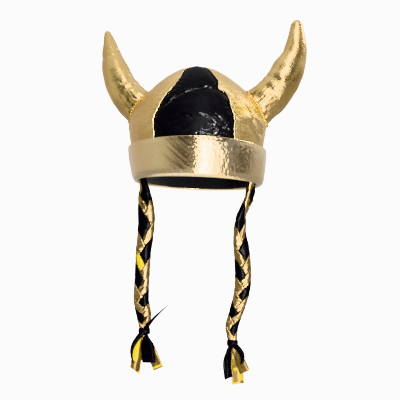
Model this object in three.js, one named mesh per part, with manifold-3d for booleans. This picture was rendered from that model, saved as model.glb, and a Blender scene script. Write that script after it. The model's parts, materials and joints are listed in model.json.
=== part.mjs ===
// A soft costume helmet of gold lamé and black wet-look cloth.
// Four sewn panels make a hollow crown over a black lining. A padded cuff is turned up round the rim,
// a stuffed horn stands on each side, and a plait of three cloth strips hangs from each temple.
// Millimetres, +Z up. The origin is the middle of the rim, the front faces -Y, and left is -X.

import * as THREE from "three";
import { mergeVertices } from "three/addons/utils/BufferGeometryUtils.js";
import Module from "manifold-3d";

const wasm = await Module();
wasm.setup();

// Driving sizes

const GAP = 0.3; // between neighbouring pieces

const DEPTH_RATIO = 1.06; // the hat's depth, front to back, over its width
const CROWN_WALL = 1.6;
const CROWN_ROWS = 12; // rows of facets from the rim to the top
const TIP_RADIUS = 2; // where the four panels stop short of meeting
const SEAM_DIP = 1.8; // how far the cloth is pulled in along a seam
const SEAM_REACH = 9;
const SEAM_START = 45; // height where the pull begins, under the cuff
const SEAM_FULL = 85;
const FOLD_FADE = 0.75; // share of its reach over which a fold dies away

const RIM_TILT = 2.2; // degrees that the rim hangs lower on the right
const RIM_TILT_END = 90; // height where the tilt has died away

const LINING_WALL = 1.2;
const LINING_GAP = 0.6; // at the rim, where it is sewn in
const LINING_SLACK = 5; // how much further in it hangs higher up
const LINING_SLACK_HEIGHT = 60;
const LINING_STEP = 18; // degrees between two sections

const CUFF_STEP = 9; // degrees between two sections
const CUFF_GAP = 0.6;
const CUFF_FOLD_THICKNESS = 8.6; // at the rim
const CUFF_EDGE_THICKNESS = 5.4; // at the upper edge

const HORN_SIDES = 16;
const HORN_RINGS = 13;
const HORN_TANGENT_STEP = 0.01; // share of the length to each side of a section, for its direction
const HORN_GATHERS = 5; // soft folds round the root
const HORN_GATHER_DEPTH = 0.05; // as a share of the radius
const HORN_GATHER_FADE = 0.22; // share of the length over which they fade

const STRIP_SIDES = 6;
const STRIP_STEP = 0.05; // turns between two sections of a woven strip
const STRIP_GAP = 2.1; // at each section; the straight facets between two sections come closer
const STRIP_SWAY = 0.36; // how far a strip swings to each side, as a share of the plait's half-width
const STRIP_WEAVE = 0.27; // and how far it swings to the front and back
const STRIP_WIDTH = 0.76; // a strip's own half-width and half-depth, as shares of the same
const STRIP_DEPTH = 0.36;
const END_HALF_THICKNESS = 1.1; // of a strip's loose end
const END_STEP = 6; // drop between two sections of a loose end
const END_OPENING = 0.45; // share of a loose end over which it flattens

const TIE_CLEARANCE = 0.75; // the band's hole has flat sides, so it is cut a little wide
const TIE_WALL = 1.6;
const TIE_HALF_HEIGHT = 4.5;
const TIE_SIDES = 14;
const KNOT_HALF_WIDTH = 4.4;
const KNOT_HALF_HEIGHT = 3.6;
const KNOT_SIDES = 8;
const KNOT_ROWS = 6;
const TAIL_STEPS = 6;
const TAIL_HALF_THICKNESS = 0.8;

// Colours and finishes

const goldLame = new THREE.MeshStandardMaterial({ color: 0xb8975a, metalness: 0.85, roughness: 0.35 });
const blackWetLook = new THREE.MeshStandardMaterial({ color: 0x0d0b10, metalness: 0.1, roughness: 0.25 });
const blackLining = new THREE.MeshStandardMaterial({ color: 0x0a0a0c, metalness: 0, roughness: 0.9 });

// The crown's outer face from the rim to the top, as half its width across X at each height.

const CROWN_PROFILE = [
  { height: 2, radius: 95.4 },
  { height: 45, radius: 103 },
  { height: 80, radius: 109 },
  { height: 97, radius: 109.5 },
  { height: 120, radius: 101 },
  { height: 145, radius: 80.5 },
  { height: 165, radius: 59 },
  { height: 180, radius: 37 },
  { height: 187.5, radius: 19 },
  { height: 190, radius: 0 },
];

// The front seams' distance to each side of the middle of the front, in degrees, at each height.
// The back seams lie behind them.

const SEAM_LINES = [
  { height: 2, left: 36, right: 36 },
  { height: 63, left: 34, right: 35.5 },
  { height: 90, left: 33.2, right: 34.6 },
  { height: 111, left: 28.4, right: 32.4 },
  { height: 131, left: 25, right: 31.8 },
  { height: 138, left: 23.5, right: 27.8 },
  { height: 146, left: 22, right: 28.8 },
  { height: 155, left: 21, right: 31.4 },
  { height: 168, left: 21.5, right: 31.5 },
  { height: 190, left: 34, right: 36 },
];

const SEAMS = [
  { name: "front_right", middle: 270, side: "right", turn: 1 },
  { name: "back_right", middle: 90, side: "right", turn: -1 },
  { name: "back_left", middle: 90, side: "left", turn: 1 },
  { name: "front_left", middle: 270, side: "left", turn: -1 },
];

// Crown panels, each from one seam round to the next, with its number of columns of facets.

const PANELS = [
  { name: "crown_right_panel", from: "front_right", to: "back_right", columns: 12, material: goldLame },
  { name: "crown_back_panel", from: "back_right", to: "back_left", columns: 8, material: blackWetLook },
  { name: "crown_left_panel", from: "back_left", to: "front_left", columns: 12, material: goldLame },
  { name: "crown_front_panel", from: "front_left", to: "front_right", columns: 8, material: blackWetLook },
];

// Creases and swells in the crown. Each runs along an arch: its height at the middle azimuth, how far
// its ends drop, its half-length in degrees, its half-width in millimetres and its push outwards.

const CROWN_FOLDS = [
  { name: "front_crease", azimuth: 284, height: 142, endDrop: 34, reach: 40, halfWidth: 9, push: -3.4 },
  { name: "front_swell", azimuth: 284, height: 126, endDrop: 34, reach: 40, halfWidth: 10, push: 1.8 },
  { name: "right_horn_pull", azimuth: 326, height: 106, endDrop: 22, reach: 24, halfWidth: 8, push: -2.6 },
  { name: "right_hollow", azimuth: 318, height: 84, endDrop: 8, reach: 20, halfWidth: 8, push: -1.8 },
  { name: "left_horn_pull", azimuth: 214, height: 102, endDrop: 18, reach: 20, halfWidth: 8, push: -2 },
  { name: "back_crease", azimuth: 92, height: 134, endDrop: 18, reach: 48, halfWidth: 10, push: -2.4 },
];

// The cuff's height round the rim, at each quarter.

const CUFF_HEIGHTS = [
  { azimuth: 0, height: 54 },
  { azimuth: 90, height: 55 },
  { azimuth: 180, height: 57 },
  { azimuth: 270, height: 60 },
];

// The cuff's section: how far up its height and how far through its thickness each corner lies.

const CUFF_SECTION = [
  { up: 0.08, through: 0 },
  { up: 0.35, through: 0 },
  { up: 0.7, through: 0 },
  { up: 0.96, through: 0.12 },
  { up: 1, through: 0.5 },
  { up: 0.96, through: 0.9 },
  { up: 0.7, through: 1.04 },
  { up: 0.35, through: 1.04 },
  { up: 0.13, through: 0.98 },
  { up: 0.035, through: 0.74 },
  { up: 0, through: 0.42 },
  { up: 0.02, through: 0.12 },
];

// Each horn's sections from inside the crown to the tip: distance out from the middle plane, height,
// distance back and radius. They were stuffed and sewn on by hand, so the two differ.

const HORNS = [
  {
    name: "horn_left",
    side: -1,
    sections: [
      { out: 76, up: 106, back: -6, radius: 28 },
      { out: 96, up: 126, back: 0, radius: 27.8 },
      { out: 113.5, up: 144.5, back: 6, radius: 27 },
      { out: 127, up: 166, back: 13, radius: 25 },
      { out: 137.3, up: 190, back: 21, radius: 22.4 },
      { out: 144.8, up: 216, back: 30, radius: 17 },
      { out: 151, up: 242.5, back: 39, radius: 11.5 },
      { out: 156, up: 262, back: 46, radius: 5.4 },
      { out: 157, up: 266, back: 47, radius: 2 },
    ],
  },
  {
    name: "horn_right",
    side: 1,
    sections: [
      { out: 76, up: 103, back: -2, radius: 30 },
      { out: 96.3, up: 122, back: 0, radius: 29.6 },
      { out: 116, up: 139, back: 2, radius: 29.2 },
      { out: 133.4, up: 161, back: 4, radius: 27.6 },
      { out: 146, up: 184.5, back: 7, radius: 25.8 },
      { out: 156, up: 208, back: 10, radius: 20.4 },
      { out: 159.6, up: 231.5, back: 12, radius: 16.2 },
      { out: 160.9, up: 255.5, back: 14, radius: 11 },
      { out: 161.2, up: 263, back: 14.6, radius: 9 },
      { out: 161.2, up: 268, back: 15, radius: 4.5 },
    ],
  },
];

// Each plait's route: drop below the rim, distance out and forward, the turn of its flat face about
// Z, its half-width, and how many times its strips have gone round. The last row is at the tie.
// Below the tie, each strip's loose end has its own lean, length, half-width and turn.
// The tie's two tails go out, forward and up from its knot, with a bow to one side and a taper.

const PLAITS = [
  {
    name: "left",
    side: -1,
    route: [
      { drop: -14, out: 86.6, forward: 8, twist: 90, halfWidth: 7.4, turns: 0.08 },
      { drop: -2, out: 85.9, forward: 8, twist: 86, halfWidth: 7.6, turns: 0.21 },
      { drop: 10, out: 83.7, forward: 8, twist: 62, halfWidth: 9, turns: 0.34 },
      { drop: 37, out: 81.9, forward: 8, twist: 16, halfWidth: 11.6, turns: 0.68 },
      { drop: 59, out: 81, forward: 7, twist: 0, halfWidth: 11.8, turns: 0.875 },
      { drop: 88, out: 83.2, forward: 6, twist: -4, halfWidth: 11.2, turns: 1.15 },
      { drop: 106, out: 85.5, forward: 6, twist: -6, halfWidth: 10.8, turns: 1.375 },
      { drop: 147, out: 87.6, forward: 5, twist: 0, halfWidth: 10.2, turns: 1.875 },
      { drop: 183, out: 88.9, forward: 5, twist: 8, halfWidth: 10.8, turns: 2.375 },
      { drop: 208, out: 84.8, forward: 5, twist: 4, halfWidth: 10, turns: 2.875 },
      { drop: 233, out: 83.8, forward: 5, twist: 0, halfWidth: 5.6, turns: 3.3 },
    ],
    ends: [
      { strip: "black", out: -5, forward: 7, length: 44, halfWidth: 10.5, turn: 5 },
      { strip: "gold_a", out: 13, forward: 1, length: 60, halfWidth: 9, turn: -16 },
      { strip: "gold_b", out: -23, forward: -1, length: 54, halfWidth: 9, turn: 14 },
    ],
    tails: [
      { out: -40, forward: 5, rise: 42, halfWidth: 3.4, bow: 3, taper: 0.85 },
      { out: 15, forward: 11, rise: -48, halfWidth: 5.4, bow: 9, taper: 0.5 },
    ],
  },
  {
    name: "right",
    side: 1,
    route: [
      { drop: -14, out: 87.4, forward: 8, twist: 90, halfWidth: 7.4, turns: 0.1 },
      { drop: -2, out: 85.9, forward: 8, twist: 90, halfWidth: 7.6, turns: 0.23 },
      { drop: 19, out: 84.6, forward: 8, twist: 84, halfWidth: 8.4, turns: 0.46 },
      { drop: 44, out: 73.4, forward: 8, twist: 66, halfWidth: 9.2, turns: 0.735 },
      { drop: 57, out: 69.4, forward: 8, twist: 54, halfWidth: 9.6, turns: 0.875 },
      { drop: 82, out: 67.6, forward: 7, twist: 38, halfWidth: 10, turns: 1.16 },
      { drop: 101, out: 69.8, forward: 7, twist: 20, halfWidth: 11.2, turns: 1.375 },
      { drop: 139, out: 72.3, forward: 6, twist: 4, halfWidth: 11.6, turns: 1.875 },
      { drop: 170, out: 70.6, forward: 5, twist: 0, halfWidth: 11.2, turns: 2.375 },
      { drop: 200, out: 62.4, forward: 5, twist: 0, halfWidth: 10, turns: 2.875 },
      { drop: 225, out: 54.6, forward: 5, twist: 0, halfWidth: 9, turns: 3.375 },
      { drop: 251, out: 55.2, forward: 5, twist: 0, halfWidth: 5, turns: 3.8 },
    ],
    ends: [
      { strip: "black", out: -5, forward: 6, length: 49, halfWidth: 6.5, turn: 6 },
      { strip: "gold_a", out: 6, forward: -4, length: 59, halfWidth: 10, turn: 0 },
      { strip: "gold_b", out: 19, forward: 2, length: 40, halfWidth: 8.5, turn: -14 },
    ],
    tails: [
      { out: 15, forward: 9, rise: -31, halfWidth: 5, bow: 7, taper: 0.35 },
      { out: -8, forward: 12, rise: -27, halfWidth: 3.4, bow: -3, taper: 0.4 },
    ],
  },
];

// A tie's band in section: how far through its wall and up its half-height each corner lies.

const TIE_SECTION = [
  { through: 0, up: 1 },
  { through: 0.7, up: 0.9 },
  { through: 1, up: 0 },
  { through: 0.7, up: -0.9 },
  { through: 0, up: -1 },
  { through: 0, up: 0 },
];

// The strips of each plait, in the order in which they follow each other.

const STRIPS = [
  { name: "black", material: blackWetLook },
  { name: "gold_a", material: goldLame },
  { name: "gold_b", material: goldLame },
];

// Shared helpers

const { clamp, degToRad, euclideanModulo, lerp, radToDeg, smoothstep } = THREE.MathUtils;
const ORIGIN_2D = new THREE.Vector2();
const QUARTER = 90; // degrees

// The angle between two azimuths, from -180 to 180 degrees.
function azimuthBetween(a, b) {
  return euclideanModulo(a - b + 180, 360) - 180;
}

function bell(distance, halfWidth) {
  return Math.exp(-((distance / halfWidth) ** 2));
}

// One column of a table at a value of its key column, on a smooth curve through the rows.
function column(rows, key, name, at) {
  const last = rows.length - 1;
  let i = 0;
  while (i < last - 1 && rows[i + 1][key] < at) i++;
  const slope = (j) => {
    const before = rows[Math.max(j - 1, 0)];
    const after = rows[Math.min(j + 1, last)];
    return (after[name] - before[name]) / (after[key] - before[key]);
  };
  const [low, high] = [rows[i], rows[i + 1]];
  const span = high[key] - low[key];
  const t = clamp((at - low[key]) / span, 0, 1);
  return (
    low[name] * (1 + 2 * t) * (1 - t) ** 2 +
    high[name] * (3 - 2 * t) * t * t +
    span * (slope(i) * t * (1 - t) ** 2 - slope(i + 1) * (1 - t) * t * t)
  );
}

// A closed solid through rings of points. Each ring is a closed loop whose two halves face each other,
// so an open loft is shut at both ends by a ladder of rungs across the loop.
function loft(rings, closed = false) {
  const n = rings[0].length;
  const indices = [];
  const quad = (a, b, c, d) => indices.push(a, b, c, a, c, d);
  const spans = closed ? rings.length : rings.length - 1;
  for (let i = 0; i < spans; i++) {
    const here = i * n;
    const next = ((i + 1) % rings.length) * n;
    for (let j = 0; j < n; j++) {
      const k = (j + 1) % n;
      quad(here + j, next + j, next + k, here + k);
    }
  }
  if (!closed) {
    const end = (rings.length - 1) * n;
    for (let j = 0; j < n / 2 - 1; j++) {
      const across = n - 1 - j;
      quad(j, j + 1, across - 1, across);
      quad(end + across, end + across - 1, end + j + 1, end + j);
    }
  }
  const geometry = new THREE.BufferGeometry().setFromPoints(rings.flat());
  return faceOut(dropFlat(mergeVertices(geometry.setIndex(indices))));
}

// Leaves out the triangles that merging has closed up, as at a pole.
function dropFlat(geometry) {
  const old = geometry.index.array;
  const kept = [];
  for (let i = 0; i < old.length; i += 3) {
    const [a, b, c] = [old[i], old[i + 1], old[i + 2]];
    if (a !== b && b !== c && c !== a) kept.push(a, b, c);
  }
  return geometry.setIndex(kept);
}

// Turns every face round if the solid is inside out.
function faceOut(geometry) {
  const places = geometry.attributes.position;
  const corner = (i) => new THREE.Vector3().fromBufferAttribute(places, geometry.index.getX(i));
  let volume = 0;
  for (let i = 0; i < geometry.index.count; i += 3) {
    volume += corner(i).dot(corner(i + 1).cross(corner(i + 2)));
  }
  if (volume < 0) geometry.setIndex(Array.from(geometry.index.array).reverse());
  geometry.computeVertexNormals();
  return geometry;
}

function toSolid(geometry) {
  const vertProperties = geometry.attributes.position.array;
  const triVerts = new Uint32Array(geometry.index.array);
  return new wasm.Manifold(new wasm.Mesh({ numProp: 3, vertProperties, triVerts }));
}

function fromSolid(solid) {
  const mesh = solid.getMesh();
  const geometry = new THREE.BufferGeometry();
  geometry.setAttribute("position", new THREE.BufferAttribute(mesh.vertProperties, 3));
  geometry.setIndex(new THREE.BufferAttribute(mesh.triVerts, 1));
  geometry.computeVertexNormals();
  return geometry;
}

function namedMesh(name, geometry, material) {
  const mesh = new THREE.Mesh(geometry, material);
  mesh.name = name;
  return mesh;
}

// Crown

const crownOutline = new THREE.SplineCurve(
  CROWN_PROFILE.map(({ radius, height }) => new THREE.Vector2(radius, height)),
);
const crownRows = crownOutline.getSpacedPoints(CROWN_ROWS);

// A place on the hat from its azimuth, its radius at the side and its height, with the rim's tilt.
function hatPoint(azimuth, radius, height) {
  const x = radius * Math.cos(degToRad(azimuth));
  const y = radius * Math.sin(degToRad(azimuth)) * DEPTH_RATIO;
  const tilt = Math.tan(degToRad(RIM_TILT)) * (1 - smoothstep(height, 0, RIM_TILT_END));
  return new THREE.Vector3(x, y, height - x * tilt);
}

function seamAzimuth({ middle, side, turn }, height) {
  return middle + turn * column(SEAM_LINES, "height", side, height);
}

// How far the cloth stands out of the smooth crown at a place: its folds and its seams.
function crownRelief(azimuth, { x: radius, y: height }) {
  let push = 0;
  for (const fold of CROWN_FOLDS) {
    const along = azimuthBetween(azimuth, fold.azimuth) / fold.reach;
    const archHeight = fold.height - fold.endDrop * along * along;
    push += fold.push * bell(height - archHeight, fold.halfWidth) * bell(along, FOLD_FADE);
  }
  const seamAngles = SEAMS.map((seam) => Math.abs(azimuthBetween(azimuth, seamAzimuth(seam, height))));
  const seamDistance = degToRad(Math.min(...seamAngles)) * radius;
  const pull = bell(seamDistance, SEAM_REACH) * smoothstep(height, SEAM_START, SEAM_FULL);
  return push - SEAM_DIP * pull;
}

// A place on one row of the crown, stood off its smooth face along the profile's normal.
function crownPoint(azimuth, row, standOff) {
  const here = crownRows[row];
  const below = crownRows[Math.max(row - 1, 0)];
  const above = crownRows[Math.min(row + 1, CROWN_ROWS)];
  const normal = new THREE.Vector2(above.y - below.y, below.x - above.x).normalize();
  const radius = Math.max(here.x + normal.x * standOff, 0);
  return hatPoint(azimuth, radius, here.y + normal.y * standOff);
}

// A wall's section: up its outer face and down its inner one.
function wallSection(outer, inner) {
  const up = crownRows.map((_, row) => outer(row));
  const down = crownRows.map((_, row) => inner(row)).reverse();
  return [...up, ...down];
}

// The azimuth at a share of the way across a panel. Its two edges stop half a gap short of the seams.
function panelAzimuth({ from, to }, share, row) {
  const { x: radius, y: height } = crownRows[row];
  const edge = (name) => seamAzimuth(SEAMS.find((seam) => seam.name === name), height);
  const inset = radToDeg(GAP / 2 / Math.max(radius, TIP_RADIUS));
  const width = euclideanModulo(edge(to) - edge(from), 360);
  return edge(from) + lerp(inset, width - inset, share);
}

function panelMesh(panel) {
  const rings = [];
  for (let i = 0; i <= panel.columns; i++) {
    const face = (inward) => (row) => {
      const azimuth = panelAzimuth(panel, i / panel.columns, row);
      const standOff = crownRelief(azimuth, crownRows[row]) - inward;
      if (row < CROWN_ROWS) return crownPoint(azimuth, row, standOff);
      return hatPoint(azimuth, TIP_RADIUS, crownRows[row].y + standOff); // the tip stops short of the top
    };
    rings.push(wallSection(face(0), face(CROWN_WALL)));
  }
  return namedMesh(panel.name, loft(rings), panel.material);
}

// The lining is sewn in at the rim and hangs free of the folds above it.
function liningMesh() {
  const face = (azimuth, inward) => (row) => {
    const slack = LINING_SLACK * smoothstep(crownRows[row].y, 0, LINING_SLACK_HEIGHT);
    return crownPoint(azimuth, row, -CROWN_WALL - LINING_GAP - slack - inward);
  };
  const rings = [];
  for (let azimuth = 0; azimuth < 360; azimuth += LINING_STEP) {
    rings.push(wallSection(face(azimuth, 0), face(azimuth, LINING_WALL)));
  }
  return namedMesh("lining", loft(rings, true), blackLining);
}

// The whole crown as one block, grown by a gap, for cutting what stands on it.
function crownBlock() {
  const foot = new THREE.Vector3(0, 0, CROWN_PROFILE[0].height);
  const rings = [];
  for (const panel of PANELS) {
    for (let i = 0; i < panel.columns; i++) {
      const up = crownRows.map((place, row) => {
        const azimuth = panelAzimuth(panel, i / panel.columns, row);
        return crownPoint(azimuth, row, GAP + crownRelief(azimuth, place));
      });
      up[CROWN_ROWS].setX(0).setY(0);
      rings.push([...up, foot]);
    }
  }
  return toSolid(loft(rings, true));
}

// Cuff

// The crown's outer radius at the side, at a height that the cuff covers.
function wallRadius(height) {
  return column(CROWN_PROFILE, "height", "radius", height);
}

function cuffHeight(azimuth) {
  const quarter = Math.floor(azimuth / QUARTER);
  const from = CUFF_HEIGHTS[quarter].height;
  const to = CUFF_HEIGHTS[(quarter + 1) % CUFF_HEIGHTS.length].height;
  return lerp(from, to, smoothstep(azimuth / QUARTER - quarter, 0, 1));
}

function cuffMesh() {
  const rings = [];
  for (let azimuth = 0; azimuth < 360; azimuth += CUFF_STEP) {
    const height = cuffHeight(azimuth);
    rings.push(
      CUFF_SECTION.map(({ up, through }) => {
        const thickness = lerp(CUFF_FOLD_THICKNESS, CUFF_EDGE_THICKNESS, up);
        return hatPoint(azimuth, wallRadius(up * height) + CUFF_GAP + through * thickness, up * height);
      }),
    );
  }
  return namedMesh("cuff", loft(rings, true), goldLame);
}

// Horns

// The sections with each one's share of the way along the horn.
function withShares(sections) {
  const place = ({ out, back, up }) => new THREE.Vector3(out, back, up);
  const distances = [0];
  for (let i = 1; i < sections.length; i++) {
    distances.push(distances[i - 1] + place(sections[i]).distanceTo(place(sections[i - 1])));
  }
  return sections.map((section, i) => ({ ...section, share: distances[i] / distances.at(-1) }));
}

function hornMesh({ name, side, sections }, crown) {
  const rows = withShares(sections);
  const value = (share, key) => column(rows, "share", key, share);
  const middle = (share) =>
    new THREE.Vector3(side * value(share, "out"), value(share, "back"), value(share, "up"));
  const rings = [];
  for (let i = 0; i <= HORN_RINGS; i++) {
    const share = Math.sin(((Math.PI / 2) * i) / HORN_RINGS); // closer together at the round tip
    const before = middle(Math.max(share - HORN_TANGENT_STEP, 0));
    const along = middle(Math.min(share + HORN_TANGENT_STEP, 1)).sub(before).normalize();
    const across = new THREE.Vector3(0, 1, 0).cross(along).normalize();
    const deep = along.clone().cross(across);
    const gathered = HORN_GATHER_DEPTH * Math.exp(-share / HORN_GATHER_FADE);
    const ring = [];
    for (let j = 0; j < HORN_SIDES; j++) {
      const angle = (2 * Math.PI * j) / HORN_SIDES;
      const radius = value(share, "radius") * (1 + gathered * Math.cos(HORN_GATHERS * angle));
      const corner = middle(share).addScaledVector(across, radius * Math.cos(angle));
      ring.push(corner.addScaledVector(deep, radius * Math.sin(angle)));
    }
    rings.push(ring);
  }
  return namedMesh(name, fromSolid(toSolid(loft(rings)).subtract(crown)), goldLame);
}

// Plaits

function tieDrop({ route }) {
  return route.at(-1).drop;
}

// Where a plait's strips come out below its tie and go loose.
function looseDrop(plait) {
  return tieDrop(plait) + TIE_HALF_HEIGHT + GAP;
}

// The middle of a plait at a drop, seen from above.
function plaitMiddle({ side, route }, drop) {
  const out = column(route, "drop", "out", drop);
  return new THREE.Vector2(side * out, -column(route, "drop", "forward", drop));
}

// Each strip's middle at a drop, with its flat shape there: half-width, half-depth and turn.
// Above the tie the strips follow a figure of eight, a third of a turn apart, and pass in front on
// their way in from an edge. Below it each goes its own way as a loose end.
function stripSections(plait, drop) {
  const { side, route, ends } = plait;
  const woven = Math.min(drop, tieDrop(plait));
  const loose = drop - looseDrop(plait);
  const size = column(route, "drop", "halfWidth", woven);
  const turns = column(route, "drop", "turns", woven);
  const twist = degToRad(column(route, "drop", "twist", woven)) * side;
  return STRIPS.map(({ name }, i) => {
    const angle = 2 * Math.PI * (turns + i / STRIPS.length);
    const centre = new THREE.Vector2(Math.sin(angle) * STRIP_SWAY, Math.sin(2 * angle) * STRIP_WEAVE);
    centre.multiplyScalar(size).rotateAround(ORIGIN_2D, twist).add(plaitMiddle(plait, woven));
    const flat = { centre, halfWidth: size * STRIP_WIDTH, halfDepth: size * STRIP_DEPTH, turn: twist };
    return loose > 0 ? looseEnd(flat, ends.find((end) => end.strip === name), loose, side) : flat;
  });
}

// A strip's section below the tie, as it opens from the neck's bunched shape to a flat end.
function looseEnd(neck, end, drop, side) {
  const share = drop / end.length;
  const opened = smoothstep(share, 0, END_OPENING);
  const lean = new THREE.Vector2(side * end.out, -end.forward).multiplyScalar(share);
  return {
    centre: neck.centre.clone().add(lean),
    halfWidth: lerp(neck.halfWidth, end.halfWidth, opened),
    halfDepth: lerp(neck.halfDepth, END_HALF_THICKNESS, opened),
    turn: lerp(neck.turn, degToRad(end.turn) * side, opened),
  };
}

// One strip's ring at a drop: its own flat oval, drawn in to half a gap from the line midway to each
// of its two neighbours.
function stripRing(plait, index, drop) {
  const sections = stripSections(plait, drop);
  const own = sections[index];
  const neighbours = sections.filter((_, i) => i !== index);
  const ring = [];
  for (let j = 0; j < STRIP_SIDES; j++) {
    const angle = (2 * Math.PI * (j + 0.5)) / STRIP_SIDES;
    const reach = new THREE.Vector2(own.halfWidth * Math.cos(angle), own.halfDepth * Math.sin(angle));
    reach.rotateAround(ORIGIN_2D, own.turn);
    let share = 1;
    for (const other of neighbours) {
      const between = other.centre.clone().sub(own.centre);
      const room = between.length() / 2 - STRIP_GAP / 2;
      const towards = reach.dot(between.normalize());
      if (towards > room) share = Math.min(share, room / towards);
    }
    const corner = own.centre.clone().addScaledVector(reach, share);
    ring.push(new THREE.Vector3(corner.x, corner.y, -drop));
  }
  return ring;
}

// The drops of a plait's woven sections: an equal part of a turn apart, down to the tie.
function wovenDrops(plait) {
  const turns = (drop) => column(plait.route, "drop", "turns", drop);
  const drops = [];
  for (let drop = plait.route[0].drop; drop < tieDrop(plait); ) {
    drops.push(drop);
    drop += STRIP_STEP / (turns(drop + 1) - turns(drop));
  }
  return drops;
}

function stripMesh(plait, { name, material }, index) {
  const loose = looseDrop(plait);
  const end = loose + plait.ends.find(({ strip }) => strip === name).length;
  const drops = wovenDrops(plait);
  for (let drop = loose; drop < end - END_STEP / 2; drop += END_STEP) drops.push(drop);
  drops.push(end);
  const rings = drops.map((drop) => stripRing(plait, index, drop));
  return namedMesh(`plait_${plait.name}_${name}`, loft(rings), material);
}

// Ties

// The band wound round a plait's neck.
function bandSolid(middle, height, hole) {
  const rings = [];
  for (let i = 0; i < TIE_SIDES; i++) {
    const angle = (2 * Math.PI * i) / TIE_SIDES;
    rings.push(
      TIE_SECTION.map(({ through, up }) => {
        const x = middle.x + (hole.halfWidth + through * TIE_WALL) * Math.cos(angle);
        const y = middle.y + (hole.halfDepth + through * TIE_WALL) * Math.sin(angle);
        return new THREE.Vector3(x, y, height + up * TIE_HALF_HEIGHT);
      }),
    );
  }
  return toSolid(loft(rings, true));
}

function knotSolid(knot) {
  const bead = new THREE.SphereGeometry(1, KNOT_SIDES, KNOT_ROWS);
  bead.deleteAttribute("normal").deleteAttribute("uv");
  bead.scale(KNOT_HALF_WIDTH, TIE_WALL, KNOT_HALF_HEIGHT).translate(knot.x, knot.y, knot.z);
  return toSolid(dropFlat(mergeVertices(bead)));
}

// A flat tail of the tie, tapering from the knot to its end.
function tailSolid(knot, side, { out, forward, rise, halfWidth, bow, taper }) {
  const along = new THREE.Vector3(side * out, 0, rise).normalize();
  const across = along.clone().cross(new THREE.Vector3(0, 1, 0));
  const rings = [];
  for (let i = 0; i <= TAIL_STEPS; i++) {
    const share = i / TAIL_STEPS;
    const centre = knot.clone();
    centre.x += side * (out * share + bow * Math.sin(Math.PI * share));
    centre.y -= forward * Math.sin((Math.PI / 2) * share);
    centre.z += rise * share;
    const wide = halfWidth * (1 - taper * share);
    const corner = (a, b) =>
      centre.clone().addScaledVector(across, a * wide).setY(centre.y + b * TAIL_HALF_THICKNESS);
    rings.push([corner(1, 1), corner(-1, 1), corner(-1, -1), corner(1, -1)]);
  }
  return toSolid(loft(rings));
}

function tieMesh(plait) {
  const drop = tieDrop(plait);
  const middle = plaitMiddle(plait, drop);
  const neck = column(plait.route, "drop", "halfWidth", drop - TIE_HALF_HEIGHT);
  const hole = {
    halfWidth: neck * (STRIP_SWAY + STRIP_WIDTH) + TIE_CLEARANCE,
    halfDepth: neck * (STRIP_WEAVE + STRIP_DEPTH) + TIE_CLEARANCE,
  };
  const knot = new THREE.Vector3(middle.x, middle.y - hole.halfDepth - TIE_WALL, -drop);
  const solid = plait.tails.reduce(
    (joined, tail) => joined.add(tailSolid(knot, plait.side, tail)),
    bandSolid(middle, -drop, hole).add(knotSolid(knot)),
  );
  return namedMesh(`tie_${plait.name}`, fromSolid(solid), blackWetLook);
}

// The helmet

const crown = crownBlock();
const helmet = new THREE.Group();
helmet.name = "viking_helmet";
helmet.add(...PANELS.map(panelMesh), liningMesh(), cuffMesh());
helmet.add(...HORNS.map((horn) => hornMesh(horn, crown)));
for (const plait of PLAITS) {
  helmet.add(...STRIPS.map((strip, index) => stripMesh(plait, strip, index)), tieMesh(plait));
}

export default helmet;
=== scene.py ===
"""The looks of a soft costume helmet: gold lamé and black wet-look cloth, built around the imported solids.

Shapes are worked out in millimetres in the part's own frame, and become metres when a mesh is made.
The front faces -Y, left is -X and azimuths turn from +X towards +Y, in degrees.
"""

import json
import math
from itertools import product

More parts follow.
